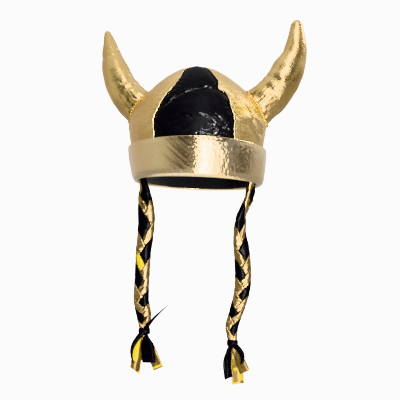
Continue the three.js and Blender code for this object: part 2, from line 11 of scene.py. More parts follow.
import bpy
import numpy as np
from mathutils import Matrix, Vector
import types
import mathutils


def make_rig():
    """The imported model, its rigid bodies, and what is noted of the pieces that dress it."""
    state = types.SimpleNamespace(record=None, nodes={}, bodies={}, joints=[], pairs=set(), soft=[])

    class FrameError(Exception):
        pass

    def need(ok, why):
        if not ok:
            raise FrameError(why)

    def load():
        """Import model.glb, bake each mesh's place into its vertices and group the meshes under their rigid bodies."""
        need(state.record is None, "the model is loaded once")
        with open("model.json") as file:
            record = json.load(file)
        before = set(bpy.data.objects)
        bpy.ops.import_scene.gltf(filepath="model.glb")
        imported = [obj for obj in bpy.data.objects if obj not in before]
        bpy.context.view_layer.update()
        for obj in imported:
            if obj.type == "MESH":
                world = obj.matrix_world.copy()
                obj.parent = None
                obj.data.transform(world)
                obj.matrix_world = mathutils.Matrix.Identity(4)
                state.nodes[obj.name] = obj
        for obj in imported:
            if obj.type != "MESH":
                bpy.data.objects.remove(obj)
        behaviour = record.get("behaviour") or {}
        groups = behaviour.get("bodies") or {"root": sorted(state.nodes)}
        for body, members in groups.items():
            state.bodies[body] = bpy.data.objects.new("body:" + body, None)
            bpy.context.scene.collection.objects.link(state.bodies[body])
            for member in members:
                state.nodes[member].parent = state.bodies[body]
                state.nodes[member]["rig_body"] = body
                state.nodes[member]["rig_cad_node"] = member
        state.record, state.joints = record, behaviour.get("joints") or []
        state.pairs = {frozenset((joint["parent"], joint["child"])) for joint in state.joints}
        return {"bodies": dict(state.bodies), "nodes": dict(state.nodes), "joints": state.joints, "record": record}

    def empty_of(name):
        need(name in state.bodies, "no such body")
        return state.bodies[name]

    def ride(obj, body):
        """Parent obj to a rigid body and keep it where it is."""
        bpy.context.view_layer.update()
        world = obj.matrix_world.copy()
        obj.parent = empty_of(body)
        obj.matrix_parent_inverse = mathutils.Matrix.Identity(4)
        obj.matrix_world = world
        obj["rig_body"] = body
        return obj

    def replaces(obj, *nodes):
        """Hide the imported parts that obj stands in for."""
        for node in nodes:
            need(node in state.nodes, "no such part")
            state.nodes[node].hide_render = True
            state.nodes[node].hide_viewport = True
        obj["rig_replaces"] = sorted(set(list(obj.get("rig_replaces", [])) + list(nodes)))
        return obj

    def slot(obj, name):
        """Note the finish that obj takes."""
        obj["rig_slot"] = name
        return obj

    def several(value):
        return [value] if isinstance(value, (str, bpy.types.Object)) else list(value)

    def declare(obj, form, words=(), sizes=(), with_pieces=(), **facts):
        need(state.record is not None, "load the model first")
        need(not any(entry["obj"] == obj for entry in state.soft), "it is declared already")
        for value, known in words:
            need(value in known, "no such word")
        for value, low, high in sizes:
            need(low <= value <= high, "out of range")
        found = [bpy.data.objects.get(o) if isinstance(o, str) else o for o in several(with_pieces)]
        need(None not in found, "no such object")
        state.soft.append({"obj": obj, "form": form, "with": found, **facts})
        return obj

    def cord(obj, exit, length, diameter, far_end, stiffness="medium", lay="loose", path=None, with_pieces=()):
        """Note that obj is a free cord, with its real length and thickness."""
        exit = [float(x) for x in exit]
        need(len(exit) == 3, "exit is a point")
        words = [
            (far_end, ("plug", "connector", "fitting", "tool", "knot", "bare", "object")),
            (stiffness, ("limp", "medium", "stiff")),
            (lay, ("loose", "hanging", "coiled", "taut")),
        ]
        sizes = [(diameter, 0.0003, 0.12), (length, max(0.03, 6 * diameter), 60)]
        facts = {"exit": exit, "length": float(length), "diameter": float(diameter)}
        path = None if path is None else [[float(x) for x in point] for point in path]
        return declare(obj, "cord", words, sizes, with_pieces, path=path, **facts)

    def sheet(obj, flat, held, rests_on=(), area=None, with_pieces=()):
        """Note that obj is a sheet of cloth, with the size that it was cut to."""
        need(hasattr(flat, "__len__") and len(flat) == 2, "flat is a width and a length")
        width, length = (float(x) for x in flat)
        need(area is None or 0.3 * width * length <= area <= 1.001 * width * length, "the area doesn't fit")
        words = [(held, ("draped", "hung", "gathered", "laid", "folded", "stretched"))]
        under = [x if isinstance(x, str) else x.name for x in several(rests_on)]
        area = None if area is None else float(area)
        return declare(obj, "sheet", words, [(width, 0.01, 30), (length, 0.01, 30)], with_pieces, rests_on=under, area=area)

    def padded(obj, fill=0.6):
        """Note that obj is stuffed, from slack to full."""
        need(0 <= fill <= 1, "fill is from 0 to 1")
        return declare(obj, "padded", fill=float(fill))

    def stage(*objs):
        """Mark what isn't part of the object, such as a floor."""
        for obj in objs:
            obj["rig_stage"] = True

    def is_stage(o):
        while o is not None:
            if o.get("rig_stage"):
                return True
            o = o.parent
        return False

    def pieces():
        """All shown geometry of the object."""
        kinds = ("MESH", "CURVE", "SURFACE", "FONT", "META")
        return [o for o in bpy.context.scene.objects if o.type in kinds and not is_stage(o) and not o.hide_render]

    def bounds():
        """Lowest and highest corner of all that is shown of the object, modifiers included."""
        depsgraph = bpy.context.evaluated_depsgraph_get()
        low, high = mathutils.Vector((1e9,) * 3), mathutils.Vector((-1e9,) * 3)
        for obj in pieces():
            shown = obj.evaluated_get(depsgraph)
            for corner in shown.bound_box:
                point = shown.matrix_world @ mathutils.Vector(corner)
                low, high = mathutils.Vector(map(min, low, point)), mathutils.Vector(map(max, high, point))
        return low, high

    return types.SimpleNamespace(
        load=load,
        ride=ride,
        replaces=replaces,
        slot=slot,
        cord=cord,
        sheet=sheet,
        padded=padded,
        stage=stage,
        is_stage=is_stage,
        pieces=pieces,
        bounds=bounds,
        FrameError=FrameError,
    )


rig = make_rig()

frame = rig.load()
cad_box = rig.bounds()

MM = 0.001  # metres in a millimetre


# Tables and curves

def table(columns, *rows):
    """A table with named columns, as arrays."""
    return dict(zip(columns.split(), np.array(rows, float).T))


def points(rows, names):
    """The named columns of a table, as places."""
    return np.stack([rows[name] for name in names.split()], axis=1)


def column(rows, key, name, at):
    """One column of a table at values of its key column, on a smooth curve through the rows."""
    keys, values = rows[key], rows[name]
    slopes = np.empty_like(values)
    slopes[1:-1] = (values[2:] - values[:-2]) / (keys[2:] - keys[:-2])
    slopes[0] = (values[1] - values[0]) / (keys[1] - keys[0])
    slopes[-1] = (values[-1] - values[-2]) / (keys[-1] - keys[-2])
    low = np.clip(np.searchsorted(keys, at) - 1, 0, len(keys) - 2)
    span = keys[low + 1] - keys[low]
    t = np.clip((at - keys[low]) / span, 0, 1)
    straight = values[low] * (1 + 2 * t) * (1 - t) ** 2 + values[low + 1] * (3 - 2 * t) * t * t
    return straight + span * (slopes[low] * t * (1 - t) ** 2 - slopes[low + 1] * (1 - t) * t * t)


def full_turn(count):
    """Angles round a whole turn, in radians."""
    return np.linspace(0, 2 * np.pi, count, endpoint=False)


def smoothstep(at, low, high):
    t = np.clip((at - low) / (high - low), 0, 1)
    return t * t * (3 - 2 * t)


def bell(distance, half_width):
    return np.exp(-((distance / half_width) ** 2))


def lerp(low, high, share):
    return low + (high - low) * share


def arc_lengths(points):
    """The distance along a line of points at each of them."""
    steps = np.linalg.norm(np.diff(points, axis=0), axis=-1)
    return np.concatenate([[0], np.cumsum(steps)])


DENSE = 24  # steps in each span of a curve before it is spaced out evenly


def smooth_curve(points, count, closed=False):
    """Evenly spaced places along a smooth curve through points."""
    points = np.asarray(points, float)
    before, after = (points[-1:], points[:2]) if closed else (points[:1], points[-1:])
    line = np.concatenate([before, points, after])
    t = np.linspace(0, 1, DENSE, endpoint=False)[:, None]
    spans = []
    for p0, p1, p2, p3 in zip(line, line[1:], line[2:], line[3:]):
        v1, v2 = (p2 - p0) / 2, (p3 - p1) / 2
        cubic = 2 * p1 - 2 * p2 + v1 + v2
        square = 3 * p2 - 3 * p1 - 2 * v1 - v2
        spans.append(cubic * t**3 + square * t**2 + v1 * t + p1)
    dense = np.concatenate([*spans, line[-2:-1]])
    lengths = arc_lengths(dense)
    at = np.linspace(0, lengths[-1], count, endpoint=not closed)
    return np.stack([np.interp(at, lengths, dense[:, k]) for k in range(points.shape[1])], axis=1)


def azimuth_between(a, b):
    """The angle between two azimuths, from -180 to 180 degrees."""
    return (a - b + 180) % 360 - 180


# Noise

class Noise:
    """Smooth seeded noise in space, from about -1 to 1, with one cell to a unit."""

    CELLS = 32
    STEEPNESS = 2.4  # of the ridges

    def __init__(self, seed):
        self.values = np.random.default_rng(seed).uniform(-1, 1, (self.CELLS,) * 3)

    def __call__(self, places):
        cell = np.floor(places).astype(int)
        t = places - cell
        t = t * t * (3 - 2 * t)
        total = np.zeros(places.shape[:-1])
        for corner in product((0, 1), repeat=3):
            weight = np.where(corner, t, 1 - t).prod(axis=-1)
            i, j, k = np.moveaxis((cell + corner) % self.CELLS, -1, 0)
            total += weight * self.values[i, j, k]
        return total

    def ridged(self, places):
        """Sharp crests on smooth ground, from 0 to 1."""
        return 1 - np.minimum(np.abs(self(places)) * self.STEEPNESS, 1)


lumps = Noise(3)
wrinkles = Noise(11)
crinkles = Noise(23)
wander = Noise(37)


def line_noise(noise, at, row=0.5):
    """The noise along one line."""
    return noise(np.stack([at, np.full_like(at, row), np.full_like(at, row)], axis=-1))


def uneven(places, layers):
    """The sum of layers of noise, each with its size and depth."""
    return sum(depth * noise(places / size) for noise, size, depth in layers)


def distance_to_line(places, line):
    """How far each place is from a line of points, and the share of the line at which it is nearest."""
    lengths = arc_lengths(line)
    best = np.full(places.shape[:-1], np.inf)
    share = np.zeros(places.shape[:-1])
    for start, end, before, after in zip(line, line[1:], lengths, lengths[1:]):
        step = end - start
        t = np.clip(((places - start) @ step) / (step @ step), 0, 1)
        apart = np.linalg.norm(places - start - t[..., None] * step, axis=-1)
        share = np.where(apart < best, lerp(before, after, t) / lengths[-1], share)
        best = np.minimum(best, apart)
    return best, share


# Meshes

COINCIDENT = 0.0001  # millimetres
TINY = 1e-6  # keeps a division from failing


def new_object(name, data):
    obj = bpy.data.objects.new(name, data)
    bpy.context.scene.collection.objects.link(obj)
    return obj


class Shape:
    """A mesh in the making: closed lofts, each with coordinates for its cloth's grain, in millimetres."""

    def __init__(self):
        self.places, self.faces, self.grain, self.finishes, self.marks = [], [], [], [], []
        self.count = 0

    def loft(self, rings, closed=False, finish=0, mark=0.0):
        """Adds a closed skin through rings of places, each ring a loop whose two halves face each other.
        An open loft is shut at both ends by rungs across the loop. finish is one material's number, or one
        for each quad, and mark is a value for the materials to read, one for all or one for each place."""
        n, m = rings.shape[:2]
        number = np.arange(n * m).reshape(n, m)
        rows = n if closed else n - 1
        along = arc_lengths(np.concatenate([rings, rings[:1]]).mean(axis=1))
        around = np.mean([arc_lengths(np.concatenate([ring, ring[:1]])) for ring in rings], axis=0)
        i, j = np.meshgrid(np.arange(rows), np.arange(m), indexing="ij")
        corners = [(i, j), (i + 1, j), (i + 1, j + 1), (i, j + 1)]
        faces = [np.stack([number[a % n, b % m] for a, b in corners], axis=-1).reshape(-1, 4)]
        spots = [np.stack([along[a], around[b]], axis=-1) for a, b in corners]
        grain = [np.stack(spots, axis=2).reshape(-1, 4, 2)]
        finishes = [np.broadcast_to(finish, (rows, m)).ravel()]
        if not closed:
            k = np.arange(m // 2 - 1)
            rung = np.stack([k, k + 1, m - 2 - k, m - 1 - k], axis=-1)
            for row, order in ((0, slice(None)), (n - 1, slice(None, None, -1))):
                faces.append(number[row][rung[:, order]])
                grain.append(np.stack([np.full(rung.shape, along[row]), around[rung[:, order]]], axis=-1))
                finishes.append(np.full(len(rung), finishes[0][-1 if row else 0]))
        faces, grain = np.concatenate(faces), np.concatenate(grain)
        flat = rings.reshape(-1, 3)
        a, b, c, d = (flat[faces[:, k]] for k in range(4))
        if np.einsum("ij,ij->", a + c, np.cross(b - a, c - a) + np.cross(c - a, d - a)) < 0:
            faces, grain = faces[:, ::-1], grain[:, ::-1]
        self.places.append(flat)
        self.marks.append(np.broadcast_to(mark, (n, m)).ravel())
        self.faces.append(faces + self.count)
        self.grain.append(grain)
        self.finishes.append(np.concatenate(finishes))
        self.count += len(flat)

    def build(self, name, *materials):
        """Makes the mesh. Corners that coincide become one, and a face needs three."""
        places, faces = np.concatenate(self.places), np.concatenate(self.faces)
        corners = places[faces]
        kept = np.linalg.norm(corners - np.roll(corners, -1, axis=1), axis=2) > COINCIDENT
        whole = kept.sum(axis=1) > 2
        kept &= whole[:, None]
        ends = np.cumsum(kept.sum(axis=1)[whole])[:-1]
        mesh = bpy.data.meshes.new(name)
        loops = [face.tolist() for face in np.split(faces[kept], ends)]
        mesh.from_pydata((places * MM).tolist(), [], loops)
        grain = mesh.uv_layers.new(name="grain")
        grain.data.foreach_set("uv", np.concatenate(self.grain)[kept].ravel())
        mark = mesh.attributes.new("mark", "FLOAT", "POINT")
        mark.data.foreach_set("value", np.concatenate(self.marks).astype(np.float32))
        mesh.polygons.foreach_set("material_index", np.concatenate(self.finishes)[whole].astype(np.int32))
        mesh.shade_smooth()
        mesh.update()
        for material in materials:
            mesh.materials.append(material)
        return new_object(name, mesh)


def dress(obj, node, slot):
    """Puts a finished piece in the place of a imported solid."""
    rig.ride(obj, "root")
    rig.replaces(obj, node)
    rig.slot(obj, slot)
    return obj


# Materials

class Nodes:
    """A short way to write a material's nodes."""

    def __init__(self, tree):
        self.tree = tree

    def add(self, kind, inputs=(), **settings):
        node = self.tree.nodes.new("ShaderNode" + kind)
        for name, value in settings.items():
            setattr(node, name, value)
        for name, value in dict(inputs).items():
            if isinstance(value, bpy.types.NodeSocket):
                self.tree.links.new(value, node.inputs[name])
            else:
                node.inputs[name].default_value = value
        return node

    def grain(self, stretch=(1, 1)):
        """The cloth's own coordinates in millimetres, scaled along and around."""
        uv = self.add("UVMap", uv_map="grain")
        return self.add("Mapping", {"Vector": uv.outputs["UV"], "Scale": (*stretch, 1)}).outputs["Vector"]

    def place(self):
        """The place in the part's frame, in metres."""
        return self.add("TexCoord").outputs["Object"]

    def mark(self):
        """The mesh's own marks, from 0 to 1."""
        return self.add("Attribute", attribute_name="mark").outputs["Fac"]

    def noise(self, vector, scale, detail=2, roughness=0.5, distortion=0):
        inputs = {"Vector": vector, "Scale": scale, "Detail": detail, "Roughness": roughness}
        return self.add("TexNoise", {**inputs, "Distortion": distortion}).outputs["Fac"]

    def spread(self, value, low, high, to_low, to_high):
        inputs = {"Value": value, "From Min": low, "From Max": high, "To Min": to_low, "To Max": to_high}
        return self.add("MapRange", inputs).outputs["Result"]

    def blend(self, share, a, b):
        mix = self.add("Mix", data_type="RGBA")
        for socket, value in ((mix.inputs[0], share), (mix.inputs[6], a), (mix.inputs[7], b)):
            if isinstance(value, bpy.types.NodeSocket):
                self.tree.links.new(value, socket)
            else:
                socket.default_value = value
        return mix.outputs[2]

    def bump(self, height, depth, under=None):
        """Relief of a depth in millimetres, over another relief if there is one."""
        inputs = {"Height": height, "Distance": depth * MM, "Strength": 1.0}
        if under is not None:
            inputs["Normal"] = under
        return self.add("Bump", inputs).outputs["Normal"]


def new_material(name):
    """A material, its nodes and its shader."""
    material = bpy.data.materials.new(name)
    material.use_nodes = True
    return material, Nodes(material.node_tree), material.node_tree.nodes["Principled BSDF"]


def wire(nodes, shader, **sockets):
    for name, value in sockets.items():
        nodes.tree.links.new(value, shader.inputs[name.replace("_", " ")])


GOLD_PALE = (0.84, 0.63, 0.31, 1)
GOLD_DEEP = (0.7, 0.49, 0.2, 1)
# painted glow: warm light reflected from a horn's gold root onto the crown
GOLD_PAINTED_GLOW = (1, 0.7, 0.2, 1)
# a paler gold for the cuff and the seams' rolls: the gold's own colour with painted sheen, so that highlights show
# whiter
GOLD_PALE_SHEEN = (0.84, 0.69, 0.46, 1)
GOLD_HORN = (0.78, 0.57, 0.27, 1)
GOLD_HORN_DEEP = (0.62, 0.43, 0.17, 1)
# darker copies of the gold lamé for the plaits' strips and ends: shade painted into their colour
GOLD_SHADED = (0.45, 0.33, 0.16, 1)
GOLD_SHADED_BROWN = (0.29, 0.195, 0.08, 1)
GOLD_SHADED_DULL = (0.17, 0.11, 0.04, 1)
STITCHING = (0.8, 0.55, 0.17, 1)
STITCHING_DEEP = (0.55, 0.34, 0.08, 1)
PATCH_SHADE = 0.5  # how far the broad patches go towards the deep colour
SAND_SHADE = 1.2  # and the sandy grain, to a millimetre of its depth


def gold_material(name, stretch, crinkle_depth, roughness, pale=GOLD_PALE, deep=GOLD_DEEP, sand_depth=0.16):
    """Metal foil on cloth: bright, with fine crinkles that may be drawn out one way, and a sandy grain.
    Where the mesh is marked, a warm glow is painted over the gold: light reflected from a horn's root."""
    material, nodes, shader = new_material(name)
    grain = nodes.grain(stretch)
    crinkle = nodes.noise(grain, 0.3, detail=4, roughness=0.55, distortion=0.3)
    sand = nodes.noise(nodes.grain(), 0.45, detail=2)
    patches = nodes.noise(nodes.place(), 26, detail=3)
    relief = nodes.bump(sand, sand_depth, under=nodes.bump(crinkle, crinkle_depth))
    patchy = nodes.spread(patches, 0.35, 0.65, 0, PATCH_SHADE)
    sandy = nodes.spread(sand, 0.36, 0.64, 0, SAND_SHADE * sand_depth)
    shade = nodes.add("Math", {0: patchy, 1: sandy}).outputs[0]
    plain = nodes.blend(shade, pale, deep)
    # paints the warm glow of a horn's root where the mesh is marked
    colour = nodes.blend(nodes.mark(), plain, GOLD_PAINTED_GLOW)
    rough = nodes.spread(crinkle, 0.3, 0.7, roughness - 0.07, roughness + 0.09)
    shader.inputs["Metallic"].default_value = 1.0
    wire(nodes, shader, Base_Color=colour, Roughness=rough, Normal=relief)
    return material


BLACK_LOW = (0.002, 0.0017, 0.0025, 1)
BLACK_HIGH = (0.006, 0.0055, 0.007, 1)
LINING_DARK = (0.004, 0.004, 0.005, 1)
LINING_WORN = (0.014, 0.014, 0.016, 1)
YELLOW = (0.62, 0.5, 0.006, 1)
YELLOW_DEEP = (0.5, 0.36, 0.004, 1)


def black_material(name, crinkle_depth, specular, roughness):
    """Black foil cloth with soft creases."""
    material, nodes, shader = new_material(name)
    grain = nodes.grain()
    crease = nodes.noise(grain, 0.11, detail=5, roughness=0.5, distortion=0.8)
    sand = nodes.noise(grain, 0.9, detail=2)
    relief = nodes.bump(sand, 0.03, under=nodes.bump(crease, crinkle_depth))
    colour = nodes.blend(nodes.spread(crease, 0.35, 0.65, 0, 1), BLACK_LOW, BLACK_HIGH)
    rough = nodes.spread(crease, 0, 1, roughness - 0.05, roughness + 0.05)
    shader.inputs["Specular IOR Level"].default_value = specular
    wire(nodes, shader, Base_Color=colour, Roughness=rough, Normal=relief)
    return material


def lining_material():
    """Matte black cloth with a plain weave."""
    material, nodes, shader = new_material("black_lining")
    grain = nodes.grain()
    wave = {"Vector": grain, "Scale": 0.42, "Distortion": 0.4}
    threads = [nodes.add("TexWave", wave, bands_direction=way).outputs["Fac"] for way in "XY"]
    weave = nodes.add("Math", {0: threads[0], 1: threads[1]}, operation="MULTIPLY").outputs[0]
    wear = nodes.noise(nodes.place(), 30, detail=3)
    colour = nodes.blend(wear, LINING_DARK, LINING_WORN)
    relief = nodes.bump(weave, 0.25)
    rough = nodes.spread(wear, 0.3, 0.7, 0.8, 0.95)
    shader.inputs["Sheen Weight"].default_value = 0.15
    wire(nodes, shader, Base_Color=colour, Roughness=rough, Normal=relief)
    return material


def yellow_material():
    """The bright reverse of the gold cloth."""
    material, nodes, shader = new_material("yellow_reverse")
    grain = nodes.grain()
    knit = nodes.noise(grain, 1.3, detail=3)
    shade = nodes.noise(grain, 0.12, detail=2)
    colour = nodes.blend(nodes.spread(shade, 0.35, 0.65, 0, 1), YELLOW, YELLOW_DEEP)
    relief = nodes.bump(knit, 0.15)
    rough = nodes.spread(knit, 0, 1, 0.4, 0.6)
    wire(nodes, shader, Base_Color=colour, Roughness=rough, Normal=relief)
    return material


gold_crown = gold_material("gold_lame_crown", (1, 1), 0.5, 0.34, sand_depth=0.6)
# the paler gold of the rolls and the cuff is partly painted sheen, to whiten their highlights
gold_roll = gold_material("gold_lame_roll", (1, 1), 0.3, 0.16, GOLD_PALE_SHEEN, GOLD_PALE)
gold_cuff = gold_material("gold_lame_cuff", (1.6, 1), 0.22, 0.14, GOLD_PALE_SHEEN, GOLD_PALE)
gold_horn = gold_material("gold_lame_horn", (1, 1), 0.34, 0.22, GOLD_HORN, GOLD_HORN_DEEP, 0.32)
# the strips and their ends take the darker golds, with shade painted in
gold_strip = gold_material("gold_lame_strip_shaded", (0.35, 0.8), 0.14, 0.3, GOLD_SHADED, GOLD_SHADED_BROWN, 0.04)
gold_end = gold_material("gold_lame_end_shaded", (0.3, 0.6), 0.2, 0.46, GOLD_SHADED_BROWN, GOLD_SHADED_DULL, 0.1)
gold_stitching = gold_material("gold_stitching", (1, 1), 0.3, 0.3, STITCHING, STITCHING_DEEP)
black_smooth = black_material("black_wet_look_smooth", 0.6, 0.14, 0.5)
black_creased = black_material("black_wet_look_creased", 0.4, 0.5, 0.15)
black_strip = black_material("black_wet_look_strip", 0.5, 0.09, 0.26)
black_lining = lining_material()
yellow_reverse = yellow_material()


# Crown

GAP = 0.3
DEPTH_RATIO = 1.06
CROWN_WALL = 1.6
CROWN_ROWS = 170
TIP_RADIUS = 0.4
SEAM_DIP = 1.8
SEAM_REACH = 9
SEAM_START = 45
SEAM_FULL = 85
FOLD_FADE = 0.75
RIM_TILT = 2.2
RIM_TILT_END = 90
CUFF_COVER = (50, 68)  # heights over which the cloth comes free of the cuff and may crease

CROWN_PROFILE = table(
    "height radius",
    (2, 95.4), (45, 103), (80, 109), (97, 109.5), (120, 101),
    (145, 80.5), (165, 59), (180, 37), (187.5, 19), (190, 0),
)
SEAM_LINES = table(
    "height left right",
    (2, 36, 36), (63, 34, 35.5), (90, 33.2, 34.6), (111, 28.4, 32.4), (131, 25, 31.8), (138, 23.5, 27.8),
    (146, 22, 28.8), (155, 21, 31.4), (168, 21.5, 31.5), (190, 34, 36),
)
SEAMS = {
    "front_right": {"middle": 270, "side": "right", "turn": 1},
    "back_right": {"middle": 90, "side": "right", "turn": -1},
    "back_left": {"middle": 90, "side": "left", "turn": 1},
    "front_left": {"middle": 270, "side": "left", "turn": -1},
}
PANELS = {
    "crown_right_panel": {"seams": ("front_right", "back_right"), "columns": 132, "cloth": "gold"},
    "crown_back_panel": {"seams": ("back_right", "back_left"), "columns": 96, "cloth": "black"},
    "crown_left_panel": {"seams": ("back_left", "front_left"), "columns": 132, "cloth": "gold"},
    "crown_front_panel": {"seams": ("front_left", "front_right"), "columns": 150, "cloth": "black"},
}

# Broad folds, each along an arch: its middle, how far its ends drop, its reach in degrees, its half-width
# in millimetres and its push outwards.

CROWN_FOLDS = table(
    "azimuth height end_drop reach half_width push",
    (284, 142, 34, 40, 9, -3.4),
    (284, 126, 34, 40, 10, 1.8),
    (326, 106, 22, 24, 8, -2.6),
    (318, 84, 8, 20, 8, -1.8),
    (214, 102, 18, 20, 8, -2),
    (92, 134, 18, 48, 10, -2.4),
)


def crease(half_width, depth, lip_drop, lip, *line):
    """A sharp crease along places, by azimuth and height, with a lip that stands out a little below it."""
    return {"half_width": half_width, "depth": depth, "lip_drop": lip_drop, "lip": lip, "line": line}


CREASES = [
    crease(2, 3.4, 5, 2.4, (245, 106), (255, 122), (262, 132), (270, 137), (277, 140), (284, 142.5),
           (293, 138)),
    crease(2, 2.8, 4, 2.8, (298, 142), (305, 134), (311, 124), (317, 115)),
    crease(2.2, 3.4, 5, 2.4, (316, 119), (321, 111), (326, 100), (337, 87), (348, 82)),
    crease(2.2, 3, 4, 1.6, (329, 128), (333, 115), (338, 104)),
    crease(2.6, 2.6, 5, 1.6, (322, 92), (330, 80), (340, 70)),
    crease(1.2, 1, 2.5, 0.9, (258, 90), (262, 92), (266, 91), (271, 88)),
    crease(1.1, 1.2, 2.5, 1, (286, 95), (290, 90), (296, 80), (302, 66)),
    crease(0.8, 0.8, 2, 0.6, (274, 93), (281, 90), (287, 82), (293, 72)),
    crease(0.9, 1, 2, 0.8, (285, 66), (291, 69), (297, 76), (301, 84)),
    crease(1.2, 1.2, 2.5, 1, (290, 62), (297, 65), (304, 62)),
    crease(0.8, 0.9, 2, 0.7, (271, 61), (276, 65), (281, 63), (287, 60)),
    crease(0.6, 0.7, 1.8, 0.5, (276, 71), (281, 68), (286, 72), (291, 70)),
    crease(0.7, 0.9, 2, 0.7, (283, 58), (289, 64), (293, 58)),
    crease(0.6, 0.6, 1.6, 0.5, (279, 80), (284, 76), (290, 78)),
    crease(2.4, 1.8, 5, 1.3, (70, 118), (84, 131), (100, 132), (114, 120)),
    crease(2.2, 1.1, 4, 0.8, (78, 84), (90, 78), (104, 86)),
]
LIP_WIDTH = 1.3  # in half-widths of a crease
GLOSS_REACH = 1.1  # in half-widths of a crease
CREASE_UNEVEN = 0.5
CREASE_BEATS = 5  # changes of depth along a crease
CREASE_FADE = 0.5
CRUMPLE_DEPTH = 1.6
CRUMPLES = ((8, 0, 1), (4.5, 9, 0.6))  # sizes, shifts and shares of the coarse and the fine crumples
CRUMPLE_LEVEL = 0.8  # taken off them, so that they go in as well as out
CLOTH_LAYERS = {"gold": [(lumps, 32, 0.7), (wrinkles, 11, 0.35)], "black": [(lumps, 36, 0.6)]}
CREASED_MARK = 0.3  # above it the black cloth has a wet gloss
FOLDED_MARK = 0.75  # above it the gold cloth is glossier, and painted paler as sheen
ROLL_HALF_WIDTH = 1.5  # of the gold cloth's rolled edge along a seam
ROLL_HEIGHT = 1.3
PUCKER_SPACING = 11
PUCKER_DEPTH = 0.5
PUCKER_REACH = 13
PUCKER_FADE = (45, 85)  # radii over which the puckers die out towards the top
PUCKER_WANDER = [(lumps, 30, 6)]
SEAM_WANDER = 0.8
WANDER_SPACING = 12
WANDER_LEAST_RADIUS = 20  # a smaller circle would turn the wander into too wide an angle
ROLL_UNEVEN = 0.35
ROLL_BEAT = 7
SEAM_GROOVE = 1.0  # how far the black cloth is drawn in along a seam
SEAM_GROOVE_HALF_WIDTH = 3
TIP_FLAT = 18  # radius below which the cloth gets smoother towards the top
CRINKLED_REACH = 24
CRINKLED_SHARE = 0.6
# reach of the painted glow beside the right horn's root
PAINTED_GLOW_REACH = 9
ROOT_FOLDS = 12  # round a horn's root
ROOT_FOLD_DEPTH = 0.9
ROOT_FOLD_REACH = 11
ROOT_FOLD_WANDER = [(lumps, 25, 2.5)]

crown_outline = smooth_curve(points(CROWN_PROFILE, "radius height"), CROWN_ROWS + 1)
outline_slope = np.gradient(crown_outline, axis=0)
outline_normal = np.stack([outline_slope[:, 1], -outline_slope[:, 0]], axis=1)
outline_normal /= np.linalg.norm(outline_normal, axis=1, keepdims=True)


def hat_point(azimuth, radius, height):
    """A place on the hat from its azimuth, its radius at the side and its height, with the rim's tilt."""
    angle = np.radians(azimuth)
    x = radius * np.cos(angle)
    y = radius * np.sin(angle) * DEPTH_RATIO
    tilt = math.tan(math.radians(RIM_TILT)) * (1 - smoothstep(height, 0, RIM_TILT_END))
    return np.stack([x, y, height - x * tilt], axis=-1)


def crown_radius(height):
    """The crown's outer radius at the side, at a height on its way up."""
    return np.interp(height, crown_outline[:, 1], crown_outline[:, 0])


def on_crown(azimuth, height):
    return hat_point(azimuth, crown_radius(height), height)


CRINKLED_PATCH = on_crown(292.0, 70.0)
# the line along which the glow of the right horn's root is painted on its gore
PAINTED_GLOW_LINE = on_crown(np.array([311.0, 322, 334, 340]), np.array([103.0, 107, 113, 108]))


def seam_azimuth(name, height):
    seam = SEAMS[name]
    place = seam["middle"] + seam["turn"] * column(SEAM_LINES, "height", seam["side"], height)
    sway = SEAM_WANDER * line_noise(wander, height / WANDER_SPACING, row=seam["middle"] + seam["turn"])
    return place + np.degrees(sway / np.maximum(crown_radius(height), WANDER_LEAST_RADIUS))


def seam_distance(azimuth, radius, height):
    """How far each place is from its nearest seam."""
    apart = [np.abs(azimuth_between(azimuth, seam_azimuth(name, height))) for name in SEAMS]
    return np.radians(np.min(apart, axis=0)) * radius


def broad_relief(azimuth, radius, height):
    """How far the cloth's broad folds and the pull of its seams put it out of the smooth crown."""
    push = np.zeros(np.broadcast(azimuth, height).shape)
    for middle, at, end_drop, reach, half_width, fold in zip(*CROWN_FOLDS.values()):
        along = azimuth_between(azimuth, middle) / reach
        push += fold * bell(height - at + end_drop * along**2, half_width) * bell(along, FOLD_FADE)
    pull = bell(seam_distance(azimuth, radius, height), SEAM_REACH)
    return push - SEAM_DIP * (pull * smoothstep(height, SEAM_START, SEAM_FULL))


def crown_face(azimuth, stand_off):
    """Places on the crown for columns of azimuths, one for each row, stood off its smooth face."""
    radius = np.maximum(crown_outline[:, 0] + outline_normal[:, 0] * stand_off, TIP_RADIUS)
    return hat_point(azimuth, radius, crown_outline[:, 1] + outline_normal[:, 1] * stand_off)


def crease_relief(places):
    """The sharp creases and their lips, which fade at each line's ends, and how near places are to one."""
    push, near = np.zeros((2, *places.shape[:-1]))
    for row in CREASES:
        azimuth, height = np.array(row["line"], float).T
        for drop, half_width, reach in (
            (0, row["half_width"], -row["depth"]),
            (row["lip_drop"], row["half_width"] * LIP_WIDTH, row["lip"]),
        ):
            line = smooth_curve(on_crown(azimuth, height - drop), DENSE)
            apart, share = distance_to_line(places, line)
            depth = 1 + CREASE_UNEVEN * line_noise(wrinkles, share * CREASE_BEATS, row=azimuth[0])
            fade = smoothstep(np.sin(np.pi * share), 0, CREASE_FADE)
            push += reach * bell(apart, half_width) * fade * depth
            near = np.maximum(near, bell(apart, GLOSS_REACH * row["half_width"]) * fade)
    return push, near


def horn_root_relief(places):
    """Small folds that run out from the root of each horn over the crown."""
    push = np.zeros(places.shape[:-1])
    for horn in HORNS.values():
        foot, along, across, deep, radius = horn_root(horn)
        arm = places - foot
        angle = np.arctan2(arm @ deep, arm @ across)
        out = np.hypot(arm @ deep, arm @ across) - radius
        near = np.exp(-np.maximum(out, 0) / ROOT_FOLD_REACH) * (arm @ along > -radius)
        push += ROOT_FOLD_DEPTH * near * np.cos(ROOT_FOLDS * angle + uneven(places, ROOT_FOLD_WANDER))
    return push


